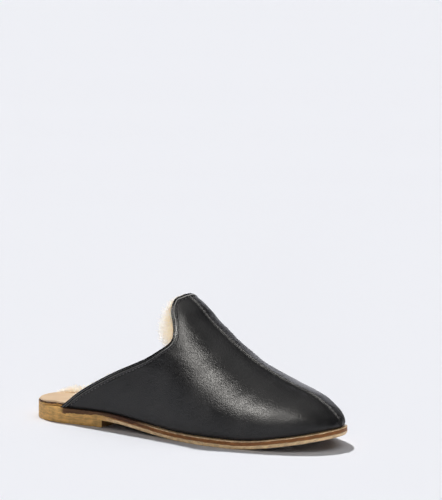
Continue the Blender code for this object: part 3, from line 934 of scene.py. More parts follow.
@dataclass
class Binding:
    """Rolled leather edge along the whole topline."""

    last: Last
    width: float = 0.0027
    nose: float = 0.0009
    fold: float = 0.0023
    cord: float = 0.0030
    cord_half: float = 0.00062
    cord_rise: float = 0.00058
    sunk: float = 0.00015
    proud: float = 0.0004
    rings: int = 420
    arc: int = 13

    def frames(self, turns: Array) -> tuple[Array, Array, Array]:
        """Points of the topline with the direction inward on the skin and the skin's normal."""
        along = self.last.topline(turns)
        points = self.last.skin(along, turns)
        normal = self.last.normal(along, turns)
        inward = unit(np.cross(np.gradient(points, axis=0), normal))
        return points, inward, normal

    def build(self, finish: bpy.types.Material) -> bpy.types.Object:
        """Build the piece and let it stand for its solid."""
        turns = self.last.topline_turns(self.rings)
        points, inward, normal = self.frames(turns)
        half = (self.last.wall + self.proud) / 2
        angles = np.linspace(-pi / 2, pi / 2, self.arc)
        over = np.linspace(self.nose, self.cord + self.cord_half, 28)[1:]
        skin = half - self.proud
        flap = half - (self.proud + self.sunk) * ease(self.fold - 0.0004, self.fold, over)
        across = (over - self.cord) / self.cord_half
        cord = skin + self.cord_rise * np.sqrt(np.maximum(1 - across**2, 0))
        top = np.where(np.abs(across) < 1, np.maximum(flap, cord), flap)
        ahead = np.concatenate([self.nose * (1 - np.cos(angles)), over, [over[-1], self.width, self.width]])
        out = np.concatenate([half * np.sin(angles), top, [skin - 2 * self.sunk, skin - 2 * self.sunk, -half]])
        run = np.linspace(0, 1, self.rings)
        puckers = 1 + 0.035 * np.sin(run * 610) + 0.03 * np.sin(run * 233 + 1)
        ring = points[:, None] + ahead[None, :, None] * inward[:, None]
        lift = (out[None] * puckers[:, None] + half - self.last.wall)[..., None]
        ring = ring + lift * normal[:, None]
        share = (ring[..., 0] + self.last.heel_centre) / self.last.length
        ring[..., 2] = np.maximum(ring[..., 2], self.last.seat(share) + self.last.gap)
        closed = np.concatenate([ring, ring[:, :1]], axis=1)
        crest = np.zeros(closed.shape[1])
        crest[self.arc : self.arc + len(over)] = np.sqrt(np.maximum(1 - across**2, 0))
        ends = []
        for end in (closed[0], closed[-1]):
            middle = np.broadcast_to(end[:-1].mean(axis=0), end.shape)
            ends.append(Patch(np.stack([end, middle]), np.zeros((2, len(end), 2))))
        places = np.stack(np.broadcast_arrays(run[:, None], crest[None]), axis=-1)
        piece = new_piece("topline_piping", [Patch(closed, places), *ends], sharp=60)
        piece.data.materials.append(finish)
        return settle(piece, Slot.BINDING, "topline_binding")


@dataclass
class Plate:
    """Flat piece of the sole: levels of one outline, each with its inset and height."""

    last: Last
    heel_rows: int = 22
    body_step: float = 0.008
    toe_rows: int = 30
    across: int = 14

    def stations(self, heel_inset: float, toe_inset: float, end: float = 1.0) -> Array:
        """Shares along the plate, crowded where heel and toe round off."""
        last = self.last
        heel = heel_inset / last.length
        turns = np.linspace(0, pi / 2, self.heel_rows + 1)[:-1]
        rounded = heel + (last.heel_cap - heel) * (1 - np.cos(turns))
        limit = min(last.toe_cap, end)
        body = np.linspace(last.heel_cap, limit, round((limit - last.heel_cap) / self.body_step) + 1)
        if end < last.toe_cap:
            return np.concatenate([rounded, body])
        tip = crowded(last.toe_cap, 1 - toe_inset / last.length, self.toe_rows)
        return np.concatenate([rounded, body, tip])

    def piece(self, name: str, levels: Sequence[tuple[Array, Array, Array, Array]]) -> bpy.types.Object:
        """Build the plate.

        Args:
            name: The piece's name.
            levels: For each level, bottom first: shares along, lateral and medial half
                widths, and heights.

        Returns:
            The closed plate. V on its map is the height over its lowest level.
        """
        rings = []
        shares = np.linspace(0, 1, self.across)[:, None]
        for along, lateral, medial, height in levels:
            x = along * self.last.length - self.last.heel_centre
            there = np.stack([x, -lateral, height], axis=-1)
            back = np.stack([x, medial, height], axis=-1)
            front = there[-1] + (back[-1] - there[-1]) * shares[1:-1]
            rings.append(np.concatenate([there, front, back[::-1], there[:1]]))
        points = np.array(rings)
        run = np.broadcast_to(run_length(points[len(points) // 2]), points.shape[:2])
        rise = points[..., 2] - points[:1, :, 2]
        patches = [Patch(points, np.stack([run, rise], axis=-1))]
        for level, ring in ((0, rings[0]), (-1, rings[-1])):
            count = len(levels[level][0])
            there = ring[:count, None]
            back = ring[-count - 1 : -1][::-1][:, None]
            face = there + (back - there) * shares
            places = np.stack([face[..., 0], np.full(face.shape[:2], rise[level].max())], axis=-1)
            patches.append(Patch(face, places))
        return new_piece(name, patches, sharp=50)


@dataclass
class Sole:
    """Outsole with its worked edge, and the heel block under it."""

    last: Last
    bevel: float = 0.0010
    bevel_rise: float = 0.0024
    lip: float = 0.0005
    heel_bevel: float = 0.0006
    worked_from: tuple[float, float] = (0.25, 0.29)

    def edge_profile(self) -> list[tuple[float, float]]:
        """Inset and height of each level of the outsole's edge, bottom first."""
        low = [(self.bevel * (1 - share) ** 1.6, self.bevel_rise * share) for share in np.linspace(0, 1, 7)]
        top = self.last.outsole
        high = [(self.lip * (1 - cos(turn)), top - self.lip * (1 - sin(turn))) for turn in np.linspace(0, pi / 2, 5)]
        return low + [(0.0, 0.5 * (self.bevel_rise + top))] + high

    def worked_level(self, plate: Plate, inset: float, height: float) -> tuple:
        """One level of the outsole, drawn in only ahead of the heel, where its edge is worked."""
        along = plate.stations(0.0, inset)
        drawn = inset * ease(self.worked_from[0], self.worked_from[1], along)
        lateral = self.last.half_width(along, -1, drawn, drawn)
        medial = self.last.half_width(along, 1, drawn, drawn)
        return along, lateral, medial, self.last.underside(along) + height

    def heel_level(self, plate: Plate, inset: float, height: float, floor: bool = True) -> tuple:
        """One level of the heel block, over the floor or over the outsole's underside."""
        end = (self.last.heel_block - inset) / self.last.length
        along = plate.stations(inset, inset, end)
        lateral = self.last.half_width(along, -1, inset, inset)
        medial = self.last.half_width(along, 1, inset, inset)
        base = 0 * along if floor else self.last.underside(along)
        return along, lateral, medial, base + height

    def build_outsole(self, finish: bpy.types.Material) -> bpy.types.Object:
        """Build the outsole and let it stand for its solid."""
        plate = Plate(self.last)
        levels = [self.worked_level(plate, inset, height) for inset, height in self.edge_profile()]
        piece = plate.piece("outsole_leather", levels)
        piece.data.materials.append(finish)
        return settle(piece, Slot.SOLE, "outsole")

    def build_heel(self, finish: bpy.types.Material) -> bpy.types.Object:
        """Build the heel block and let it stand for its solid."""
        plate = Plate(self.last)
        levels = []
        for share in np.linspace(0, 1, 5):
            levels.append(self.heel_level(plate, self.heel_bevel * (1 - share) ** 2, self.heel_bevel * share))
        levels.append(self.heel_level(plate, 0.0, self.last.heel_lift / 2))
        levels.append(self.heel_level(plate, 0.0, -self.last.gap / 3, floor=False))
        piece = plate.piece("heel_block", levels)
        piece.data.materials.append(finish)
        return settle(piece, Slot.HEEL, "heel_lift")


@dataclass
class Footbed:
    """Insole board and sock, flush at the open heel and tucked inside the upper."""

    last: Last
    margin: float = 0.0012
    neck: tuple[float, float] = (0.018, 0.006)
    sock_margin: float = 0.0012
    round_over: float = 0.0006

    def level(self, plate: Plate, heel_inset: float, height: float) -> tuple:
        """One level of the footbed's outline at a height over the outsole."""
        last = self.last
        inside = last.welt + last.wall + self.margin
        along = plate.stations(heel_inset, inside)
        widths = []
        for side, corner in ((-1, TOPLINE[-1].lateral), (1, TOPLINE[-1].medial)):
            tucked = last.half_width(along, side, inside, inside)
            flush = last.half_width(along, side, inside, heel_inset)
            flush = flush + np.where(along > last.heel_cap, inside - heel_inset, 0)
            share = ease(corner - self.neck[0] / last.length, corner - self.neck[1] / last.length, along)
            widths.append(flush + (tucked - flush) * share)
        return along, widths[0], widths[1], last.seat(along) + height

    def build(self, board: bpy.types.Material, cover: bpy.types.Material) -> list[bpy.types.Object]:
        """Build board and sock and let them stand for their solids."""
        last = self.last
        plate = Plate(last)
        low = last.gap / 3
        top = last.gap + last.insole
        levels = [self.level(plate, 0.0, low), self.level(plate, 0.0, (low + top) / 2)]
        levels += [self.level(plate, 0.0002, top - 0.0001), self.level(plate, 0.0004, top)]
        insole = plate.piece("insole_board", levels)
        insole.data.materials.append(board)
        settle(insole, Slot.INSOLE, "insole")
        start = last.footbed() - last.sock
        levels = [self.level(plate, self.sock_margin, start)]
        for turn in np.linspace(0, pi / 2, 5):
            inset = self.sock_margin + self.round_over * (1 - cos(turn))
            height = last.footbed() - self.round_over * (1 - sin(turn))
            levels.append(self.level(plate, inset, height))
        sock = plate.piece("sock_cover", levels)
        sock.data.materials.append(cover)
        settle(sock, Slot.SOCK, "sock")
        return [insole, sock]


def geometry_tree(name: str, inputs: Sequence[tuple[str, str]]) -> tuple[Graph, dict, bpy.types.NodeSocket, dict]:
    """Start a geometry node tree.

    Args:
        name: The tree's name.
        inputs: Name and socket type of each input after the geometry.

    Returns:
        Its graph, its input sockets, its output's socket, and each input's identifier.
    """
    tree = bpy.data.node_groups.new(name, "GeometryNodeTree")
    tree.interface.new_socket("Geometry", in_out="INPUT", socket_type="NodeSocketGeometry")
    keys = {}
    for key, kind in inputs:
        keys[key] = tree.interface.new_socket(key, in_out="INPUT", socket_type=kind).identifier
    tree.interface.new_socket("Geometry", in_out="OUTPUT", socket_type="NodeSocketGeometry")
    graph = Graph(tree)
    source = graph.add("NodeGroupInput")
    sink = graph.add("NodeGroupOutput")
    into = {key: source.outputs[key] for key in ("Geometry", *keys)}
    return graph, into, sink.inputs["Geometry"], keys


def grown(
    name: str,
    base: bpy.types.ID,
    tree: bpy.types.NodeTree,
    keys: dict[str, str],
    finish: bpy.types.Material,
    **sizes: float,
) -> bpy.types.Object:
    """Run a geometry tree on a mesh or curve and keep its result as a plain mesh.

    Args:
        name: Name of the finished piece.
        base: Mesh or curve data that the tree starts from.
        tree: The tree.
        keys: Identifier of each of its inputs.
        finish: Material of the result.
        sizes: Value for each other input, by name.

    Returns:
        A new object with a plain mesh, at the origin.
    """
    carrier = bpy.data.objects.new(name + "_base", base)
    bpy.context.scene.collection.objects.link(carrier)
    modifier = carrier.modifiers.new("grow", "NODES")
    modifier.node_group = tree
    modifier[keys["Material"]] = finish
    for key, value in sizes.items():
        modifier[keys[key]] = value
    bpy.context.view_layer.update()
    view = bpy.context.evaluated_depsgraph_get()
    mesh = bpy.data.meshes.new_from_object(carrier.evaluated_get(view), depsgraph=view)
    bpy.data.objects.remove(carrier)
    mesh.name = name
    mesh.polygons.foreach_set("material_index", np.zeros(len(mesh.polygons), dtype=np.int32))
    mesh.materials.clear()
    mesh.materials.append(finish)
    for spare in [layer.name for layer in mesh.attributes if layer.name in ("density", "reach", "lean", "id")]:
        mesh.attributes.remove(mesh.attributes[spare])
    piece = bpy.data.objects.new(name, mesh)
    bpy.context.scene.collection.objects.link(piece)
    return piece


def path_curve(name: str, lines: Sequence[Array]) -> bpy.types.Curve:
    """Curve data with one open line for each row of points."""
    curve = bpy.data.curves.new(name, "CURVE")
    curve.dimensions = "3D"
    for points in lines:
        spline = curve.splines.new("POLY")
        spline.points.add(len(points) - 1)
        padded = np.concatenate([points, np.ones((len(points), 1))], axis=1)
        spline.points.foreach_set("co", padded.astype(np.float32).ravel())
    return curve


@dataclass
class Stitching:
    """Rows of thread along the centre seam and inside the binding."""

    last: Last
    spacing: float = 0.0035
    stitch: float = 0.0020
    thread: float = 0.00027
    seam_reach: float = 0.00105
    seam_rise: float = 0.00060
    edge_reach: float = 0.00475

    def tree(self) -> tuple[bpy.types.NodeTree, dict]:
        """Tree that lays one stitch at each step of a line."""
        names = (("Spacing", "Float"), ("Stitch", "Float"), ("Thread", "Float"), ("Material", "Material"))
        graph, into, out, keys = geometry_tree("thread_row", [(n, "NodeSocket" + k) for n, k in names])
        steps = graph.add(
            "GeometryNodeResampleCurve",
            {"Curve": into["Geometry"], "Length": into["Spacing"]},
            mode="LENGTH",
        )
        spindle = graph.add("GeometryNodeMeshUVSphere", {"Segments": 8, "Rings": 6, "Radius": 1.0})
        size = graph.add(
            "ShaderNodeCombineXYZ",
            {"X": graph.math("MULTIPLY", into["Stitch"], 0.5), "Y": into["Thread"], "Z": into["Thread"]},
        )
        shaped = graph.add("GeometryNodeTransform", {"Geometry": spindle.outputs["Mesh"], "Scale": size.outputs[0]})
        smoothed = graph.add("GeometryNodeSetShadeSmooth", {"Geometry": shaped.outputs[0]})
        tangent = graph.add("GeometryNodeInputTangent")
        turn = graph.add(
            "FunctionNodeAlignRotationToVector", {"Vector": tangent.outputs[0]}, axis="X"
        )
        placed = graph.add(
            "GeometryNodeInstanceOnPoints",
            {"Points": steps.outputs[0], "Instance": smoothed.outputs[0], "Rotation": turn.outputs[0]},
        )
        real = graph.add("GeometryNodeRealizeInstances", {"Geometry": placed.outputs[0]})
        dressed = graph.add(
            "GeometryNodeSetMaterial", {"Geometry": real.outputs[0], "Material": into["Material"]}
        )
        graph.tree.links.new(dressed.outputs[0], out)
        return graph.tree, keys

    def seam_lines(self) -> list[Array]:
        """One line on each side of the centre seam."""
        start = float(self.last.topline(np.zeros(1))[0]) + 0.0068 / self.last.length
        along = np.linspace(start, 0.984, 300)
        lines = []
        for side in Side:
            turn = side.value * self.last.seam_turn(along, side.value, self.seam_reach)
            lines.append(self.last.skin(along, turn, -self.seam_rise))
        return lines

    def edge_line(self) -> Array:
        """Line that follows the topline inside its turned edge."""
        turns, lines = self.last.ahead_of_topline(np.array([self.edge_reach, self.edge_reach + 0.001]))
        keep = np.abs(turns) < 0.985
        fine = np.linspace(turns[keep][0], turns[keep][-1], 900)
        along = np.interp(fine, turns, lines[0])
        return self.last.skin(along, fine, 0.00022)

    def build(self, finish: bpy.types.Material) -> list[bpy.types.Object]:
        """Build both pieces."""
        tree, keys = self.tree()
        sizes = {"Spacing": self.spacing, "Stitch": self.stitch, "Thread": self.thread}
        pieces = []
        for name, lines in (("seam_stitches", self.seam_lines()), ("topline_stitches", [self.edge_line()])):
            piece = grown(name, path_curve(name, lines), tree, keys, finish, **sizes)
            pieces.append(settle(piece, Slot.UPPER))
        return pieces


@dataclass
class Fleece:
    """Wool lining of the upper, with curls inside and a soft fringe behind the tab."""

    last: Last
    pile: float = 0.0070
    lock_length: float = 0.0042
    lock_taper: float = 0.16
    locks_a_side: int = 6
    locks_end: float = 0.56
    locks_fade: float = 0.08
    setback: float = 0.0010
    lumps: float = 0.0007
    rows: int = 44
    toe_rows: int = 18
    columns: int = 150
    proud_rows: int = 5
    curl_rows: int = 30
    curl_count: float = 12500
    curl_length: float = 0.0040
    curl_thickness: float = 0.00028
    fringe_count: float = 15000
    fringe_length: float = 0.0105
    fringe_thickness: float = 0.00010
    spill_inset: float = 0.0020
    spill_width: float = 0.0030
    spill_count: float = 2400
    spill_length: float = 0.0048

    def end_share(self, depth: float, rise: float) -> float:
        """Share along at which the skin at this depth comes down to the sock."""
        shares = np.linspace(self.last.crest_cap, 1 - (self.last.welt + depth) / self.last.length, 3000)
        heights = self.last.crest_height(shares, depth)
        return float(shares[np.flatnonzero(heights > rise)[-1]])

    def grid(self, inner: bool) -> tuple[Array, Array]:
        """Grid of the lining's face to the leather, or of its face to the foot.

        Args:
            inner: Whether it is the face to the foot.

        Returns:
            Its points, and how far each lies behind the topline.
        """
        last = self.last
        rise = last.footbed() + last.skin_gap
        shares = np.linspace(-1, 1, 2 * self.columns + 1)
        wave = np.cos(2 * pi * self.locks_a_side * shares / self.locks_end)
        lock = 1 - ease(self.locks_end - self.locks_fade, self.locks_end, np.abs(shares))
        count = self.rows + self.toe_rows
        near_rim = np.exp(-np.arange(count) / 1.6)[:, None]
        depth = last.wall + last.skin_gap + self.pile * (0.3 * near_rim if not inner else 1 - 0.3 * near_rim)
        depth = np.broadcast_to(depth, (count, len(shares))).copy()
        reach = self.lock_length * (1 - self.lock_taper + self.lock_taper * wave) * lock
        back = self.setback * (1 - lock)
        end = self.end_share(last.wall + last.skin_gap + (self.pile if inner else 0.0), rise)
        tip = crowded(np.full(len(shares), last.toe_cap), end, self.toe_rows)
        turn = np.broadcast_to(shares, depth.shape).copy()
        for _ in range(8):
            start = last.topline(turn[0]) + (back - reach) / last.length
            body = start + (last.toe_cap - start) * np.linspace(0, 1, self.rows)[:, None] ** 1.3
            along = np.concatenate([body, tip])
            height = np.maximum(last.crest_height(along, depth), WELD)
            shoulder = smooth(CRESTS, "shoulder", along)
            limit = np.arccos(np.clip(rise / height, 0, 1) ** (shoulder / 2)) * 2 / pi
            turn = shares * limit
        turn[-1] = 0
        points = last.skin(along, turn, depth)
        if inner:
            points[1:-2] += self.lump_field(points)[1:-2]
        return points, (last.topline(turn) - along) * last.length

    def lump_field(self, points: Array) -> Array:
        """Soft lumps of matted wool, as moves of the inner face."""
        normals = grid_normals(points)
        x, y, z = (points[..., axis] for axis in range(3))
        lumps = np.sin(x * 720 + 3 * np.sin(y * 410)) * np.sin(z * 650 + y * 530 + 2 * np.sin(x * 380))
        lumps = lumps + 0.6 * np.sin(x * 1300 + z * 900) * np.sin(y * 1250 - z * 500)
        return self.lumps * lumps[..., None] * normals

    def tree(self) -> tuple[bpy.types.NodeTree, dict]:
        """Tree that grows tapered, curved fibres from a mesh with a way to lean."""
        names = (
            ("Count", "Float"),
            ("Length", "Float"),
            ("Thickness", "Float"),
            ("Curl", "Float"),
            ("Stray", "Float"),
            ("Seed", "Int"),
            ("Material", "Material"),
        )
        graph, into, out, keys = geometry_tree("fibres", [(n, "NodeSocket" + k) for n, k in names])
        area = graph.add("GeometryNodeInputMeshFaceArea").outputs[0]
        total = graph.add(
            "GeometryNodeAttributeStatistic",
            {"Geometry": into["Geometry"], 2: area},
            domain="FACE",
        ).outputs["Sum"]
        spread = graph.add(
            "GeometryNodeInputNamedAttribute", {"Name": "density"}, data_type="FLOAT"
        ).outputs[0]
        density = graph.math("MULTIPLY", graph.math("DIVIDE", into["Count"], total), spread)
        points = graph.add(
            "GeometryNodeDistributePointsOnFaces",
            {"Mesh": into["Geometry"], "Density": density, "Seed": into["Seed"]},
        )
        bent = []
        for share in (1.0, -0.55):
            bow = graph.math("MULTIPLY", into["Curl"], share)
            middle = graph.add("ShaderNodeCombineXYZ", {"X": graph.math("MULTIPLY", bow, -0.35), "Z": 0.55})
            end = graph.add("ShaderNodeCombineXYZ", {"X": bow, "Y": graph.math("MULTIPLY", bow, 0.3), "Z": 0.9})
            line = graph.add(
                "GeometryNodeCurveQuadraticBezier",
                {"Resolution": 3, "Start": (0.0, 0.0, 0.0), "Middle": middle.outputs[0], "End": end.outputs[0]},
            )
            run = graph.add("GeometryNodeSplineParameter").outputs["Factor"]
            marked = graph.add(
                "GeometryNodeStoreNamedAttribute",
                {"Geometry": line.outputs[0], "Name": "tip", "Value": run},
                data_type="FLOAT",
                domain="POINT",
            )
            thin = graph.spread(run, 0.0, 1.15, 1.0, 0.1)
            tapered = graph.add("GeometryNodeSetCurveRadius", {"Curve": marked.outputs[0], "Radius": thin})
            ratio = graph.math("DIVIDE", into["Thickness"], into["Length"])
            ring = graph.add("GeometryNodeCurvePrimitiveCircle", {"Resolution": 3, "Radius": ratio})
            inputs = {"Curve": tapered.outputs[0], "Profile Curve": ring.outputs[0], "Fill Caps": True}
            tube = graph.add("GeometryNodeCurveToMesh", inputs)
            smoothed = graph.add("GeometryNodeSetShadeSmooth", {"Geometry": tube.outputs[0]})
            kept = graph.add("GeometryNodeGeometryToInstance")
            graph.tree.links.new(smoothed.outputs[0], kept.inputs[0])
            bent.append(kept.outputs[0])
        variants = graph.add("GeometryNodeJoinGeometry")
        for choice in bent:
            graph.tree.links.new(choice, variants.inputs[0])
        lean = graph.add("GeometryNodeInputNamedAttribute", {"Name": "lean"}, data_type="FLOAT_VECTOR")
        stray = graph.add(
            "FunctionNodeRandomValue",
            {0: (-1.0, -1.0, -1.0), 1: (1.0, 1.0, 1.0), "Seed": into["Seed"]},
            data_type="FLOAT_VECTOR",
        )
        apart = graph.add("ShaderNodeVectorMath", {0: stray.outputs[0], "Scale": into["Stray"]}, operation="SCALE")
        way = graph.add("ShaderNodeVectorMath", {0: lean.outputs[0], 1: apart.outputs[0]}, operation="ADD")
        turned = graph.add("FunctionNodeAlignRotationToVector", {"Vector": way.outputs[0]}, axis="Z")
        roll = graph.add("FunctionNodeRandomValue", {2: 0.0, 3: 2 * pi, "Seed": into["Seed"]}, data_type="FLOAT")
        about = graph.add("ShaderNodeCombineXYZ", {"Z": roll.outputs[1]})
        rolled = graph.add(
            "FunctionNodeRotateRotation",
            {"Rotation": turned.outputs[0], "Rotate By": about.outputs[0]},
            rotation_space="LOCAL",
        )
        size = graph.add("FunctionNodeRandomValue", {2: 0.55, 3: 1.25, "Seed": into["Seed"]}, data_type="FLOAT")
        reach = graph.add("GeometryNodeInputNamedAttribute", {"Name": "reach"}, data_type="FLOAT").outputs[0]
        scale = graph.math("MULTIPLY", graph.math("MULTIPLY", size.outputs[1], reach), into["Length"])
        placed = graph.add(
            "GeometryNodeInstanceOnPoints",
            {
                "Points": points.outputs["Points"],
                "Instance": variants.outputs[0],
                "Pick Instance": True,
                "Rotation": rolled.outputs[0],
                "Scale": scale,
            },
        )
        real = graph.add("GeometryNodeRealizeInstances", {"Geometry": placed.outputs[0]})
        dressed = graph.add("GeometryNodeSetMaterial", {"Geometry": real.outputs[0], "Material": into["Material"]})
        graph.tree.links.new(dressed.outputs[0], out)
        return graph.tree, keys

    def roots(self, name: str, points: Array, fields: dict[str, Array]) -> bpy.types.Mesh:
        """Open mesh that fibres grow from.

        Args:
            name: The mesh's name.
            points: Its grid of points.
            fields: Value or vector of each named attribute at each point.

        Returns:
            The mesh.
        """
        rows, columns = points.shape[:2]
        index = np.arange(rows * columns).reshape(rows, columns)
        faces = np.stack((index[:-1, :-1], index[:-1, 1:], index[1:, 1:], index[1:, :-1]), axis=-1)
        mesh = bpy.data.meshes.new(name)
        mesh.from_pydata(points.reshape(-1, 3).tolist(), [], faces.reshape(-1, 4).tolist())
        for key, values in fields.items():
            vector = values.ndim == 3
            layer = mesh.attributes.new(key, "FLOAT_VECTOR" if vector else "FLOAT", "POINT")
            layer.data.foreach_set("vector" if vector else "value", values.astype(np.float32).ravel())
        return mesh

    def root_sheet(self) -> tuple[Array, Array, Array]:
        """Sheet that fibres grow from: round the cut edge, then down the face to the foot.

        Returns:
            Its points, their normals away from the wool, and how far each stands proud of the
            topline.
        """
        outer, outer_proud = self.grid(False)
        inner, inner_proud = self.grid(True)
        shares = np.linspace(0, 1, 5)[1:-1, None, None]
        lip = outer[0] + shares * (inner[0] - outer[0])
        lip_proud = np.broadcast_to(outer_proud[0], lip.shape[:2])
        sheet = np.concatenate([outer[self.proud_rows :: -1], lip, inner[: self.curl_rows]])
        proud = np.concatenate([outer_proud[self.proud_rows :: -1], lip_proud, inner_proud[: self.curl_rows]])
        normals = grid_normals(sheet)
        middle = inner[: self.curl_rows].mean(axis=(0, 1))
        face = slice(self.proud_rows + 8, None)
        normals *= np.sign(((middle - sheet) * normals).sum(axis=-1)[face].mean())
        return sheet, normals, proud

    def build_curls(self, finish: bpy.types.Material) -> list[bpy.types.Object]:
        """Grow short curls round the cut edge and on the face to the foot, in two halves."""
        sheet, normals, proud = self.root_sheet()
        deep = np.linspace(0, 1, len(sheet))[:, None] * np.ones(sheet.shape[1])
        front = np.arange(len(sheet))[:, None] <= self.proud_rows
        free = np.where(front, ease(0.0016, 0.0032, proud), 1.0)
        fields = {
            "density": free * (1 - 0.85 * ease(0.60, 1.0, deep)),
            "reach": np.where(front, 0.45, 0.70 + 0.25 * ease(0.2, 0.4, deep)),
            "lean": unit(np.where(front, 0.35, 1.0)[..., None] * normals + np.array([-0.60, 0.0, 0.0])),
        }
        tree, keys = self.tree()
        pieces = []
        halves = {"fleece_curls_lateral": slice(None, self.columns + 1), "fleece_curls_medial": slice(self.columns, None)}
        for name, half in halves.items():
            part = {key: value[:, half] for key, value in fields.items()}
            piece = grown(
                name,
                self.roots(name + "_roots", (sheet - 0.0006 * normals)[:, half], part),
                tree,
                keys,
                finish,
                Count=self.curl_count,
                Length=self.curl_length,
                Thickness=self.curl_thickness,
                Curl=0.85,
                Stray=0.5,
                Seed=7,
            )
            pieces.append(settle(piece, Slot.FLEECE))
        return pieces

    def build_fringe(self, finish: bpy.types.Material) -> bpy.types.Object:
        """Grow long fine fibres round the cut edge of the pile."""
        sheet, normals, proud = self.root_sheet()
        last_row = self.proud_rows + 8
        sheet, normals, proud = sheet[:last_row], normals[:last_row], proud[:last_row]
        turns = np.abs(np.linspace(-1, 1, sheet.shape[1]))
        notch = bell(turns, 0.47, 0.13)
        tab = 1 - ease(0.45, 0.62, turns)
        rest = 1 - ease(0.55, 0.95, turns)
        front = np.arange(len(sheet))[:, None] <= self.proud_rows
        free = np.where(front, ease(0.0012, 0.0030, proud), 1.0)
        fields = {
            "density": free * (0.1 + 0.3 * rest + 0.15 * tab + 0.8 * notch),
            "reach": (0.16 + 0.12 * rest + 0.16 * tab + 0.55 * notch) * np.ones_like(free),
            "lean": unit(np.where(front, 0.15, 0.3)[..., None] * normals + np.array([-0.92, 0.0, -0.32])),
        }
        tree, keys = self.tree()
        piece = grown(
            "fleece_fringe",
            self.roots("fringe_roots", sheet, fields),
            tree,
            keys,
            finish,
            Count=self.fringe_count,
            Length=self.fringe_length,
            Thickness=self.fringe_thickness,
            Curl=0.5,
            Stray=0.42,
            Seed=11,
        )
        return settle(piece, Slot.FLEECE)

    def build_spill(self, finish: bpy.types.Material) -> bpy.types.Object:
        """Grow the wool that spills over the sock along its inner edge, behind the upper."""
        last = self.last
        along = np.linspace(0.02, 0.19, 60)
        width = last.half_width(along, Side.MEDIAL.value, 0.0, 0.0)
        across = np.maximum(width - self.spill_inset - np.linspace(0, self.spill_width, 5)[:, None], 0.0)
        height = last.seat(along) + last.footbed() - 0.0002
        points = np.stack(np.broadcast_arrays(along * last.length - last.heel_centre, across, height), axis=-1)
        rising = ease(0.0, 0.065, along) * np.ones_like(across)
        fields = {
            "density": 0.25 + 0.75 * rising,
            "reach": 0.20 + 0.80 * rising,
            "lean": unit(np.array([-0.45, -0.15, 1.0])) * np.ones_like(points),
        }
        tree, keys = self.tree()
        piece = grown(
            "fleece_spill",
            self.roots("spill_roots", points, fields),
            tree,
            keys,
            finish,
            Count=self.spill_count,
            Length=self.spill_length,
            Thickness=self.fringe_thickness,
            Curl=0.7,
            Stray=0.6,
            Seed=5,
        )
        return settle(piece, Slot.FLEECE)

    def build(self, finish: bpy.types.Material, fibre: bpy.types.Material) -> list[bpy.types.Object]:
        """Build the lining's body, which stands for its solid, with its curls and fringe."""
        outer, _ = self.grid(False)
        inner, _ = self.grid(True)
        rim = Patch(np.stack([outer[0], inner[0]]))
        feet = [Patch(np.stack([outer[:, edge], inner[:, edge]])) for edge in (0, -1)]
        piece = new_piece("fleece_lining", [Patch(outer), Patch(inner), rim, *feet], sharp=80)
        piece.data.materials.append(finish)
        settle(piece, Slot.FLEECE, "shearling_lining")
        return [piece, *self.build_curls(fibre), self.build_fringe(fibre), self.build_spill(fibre)]


class Lamp(NamedTuple):
    """Soft box: where it stands, what it points at, its size, power and colour."""

    name: str
    place: tuple[float, float, float]
    aim: tuple[float, float, float]
    size: tuple[float, float]
    power: float
    colour: tuple[float, float, float]


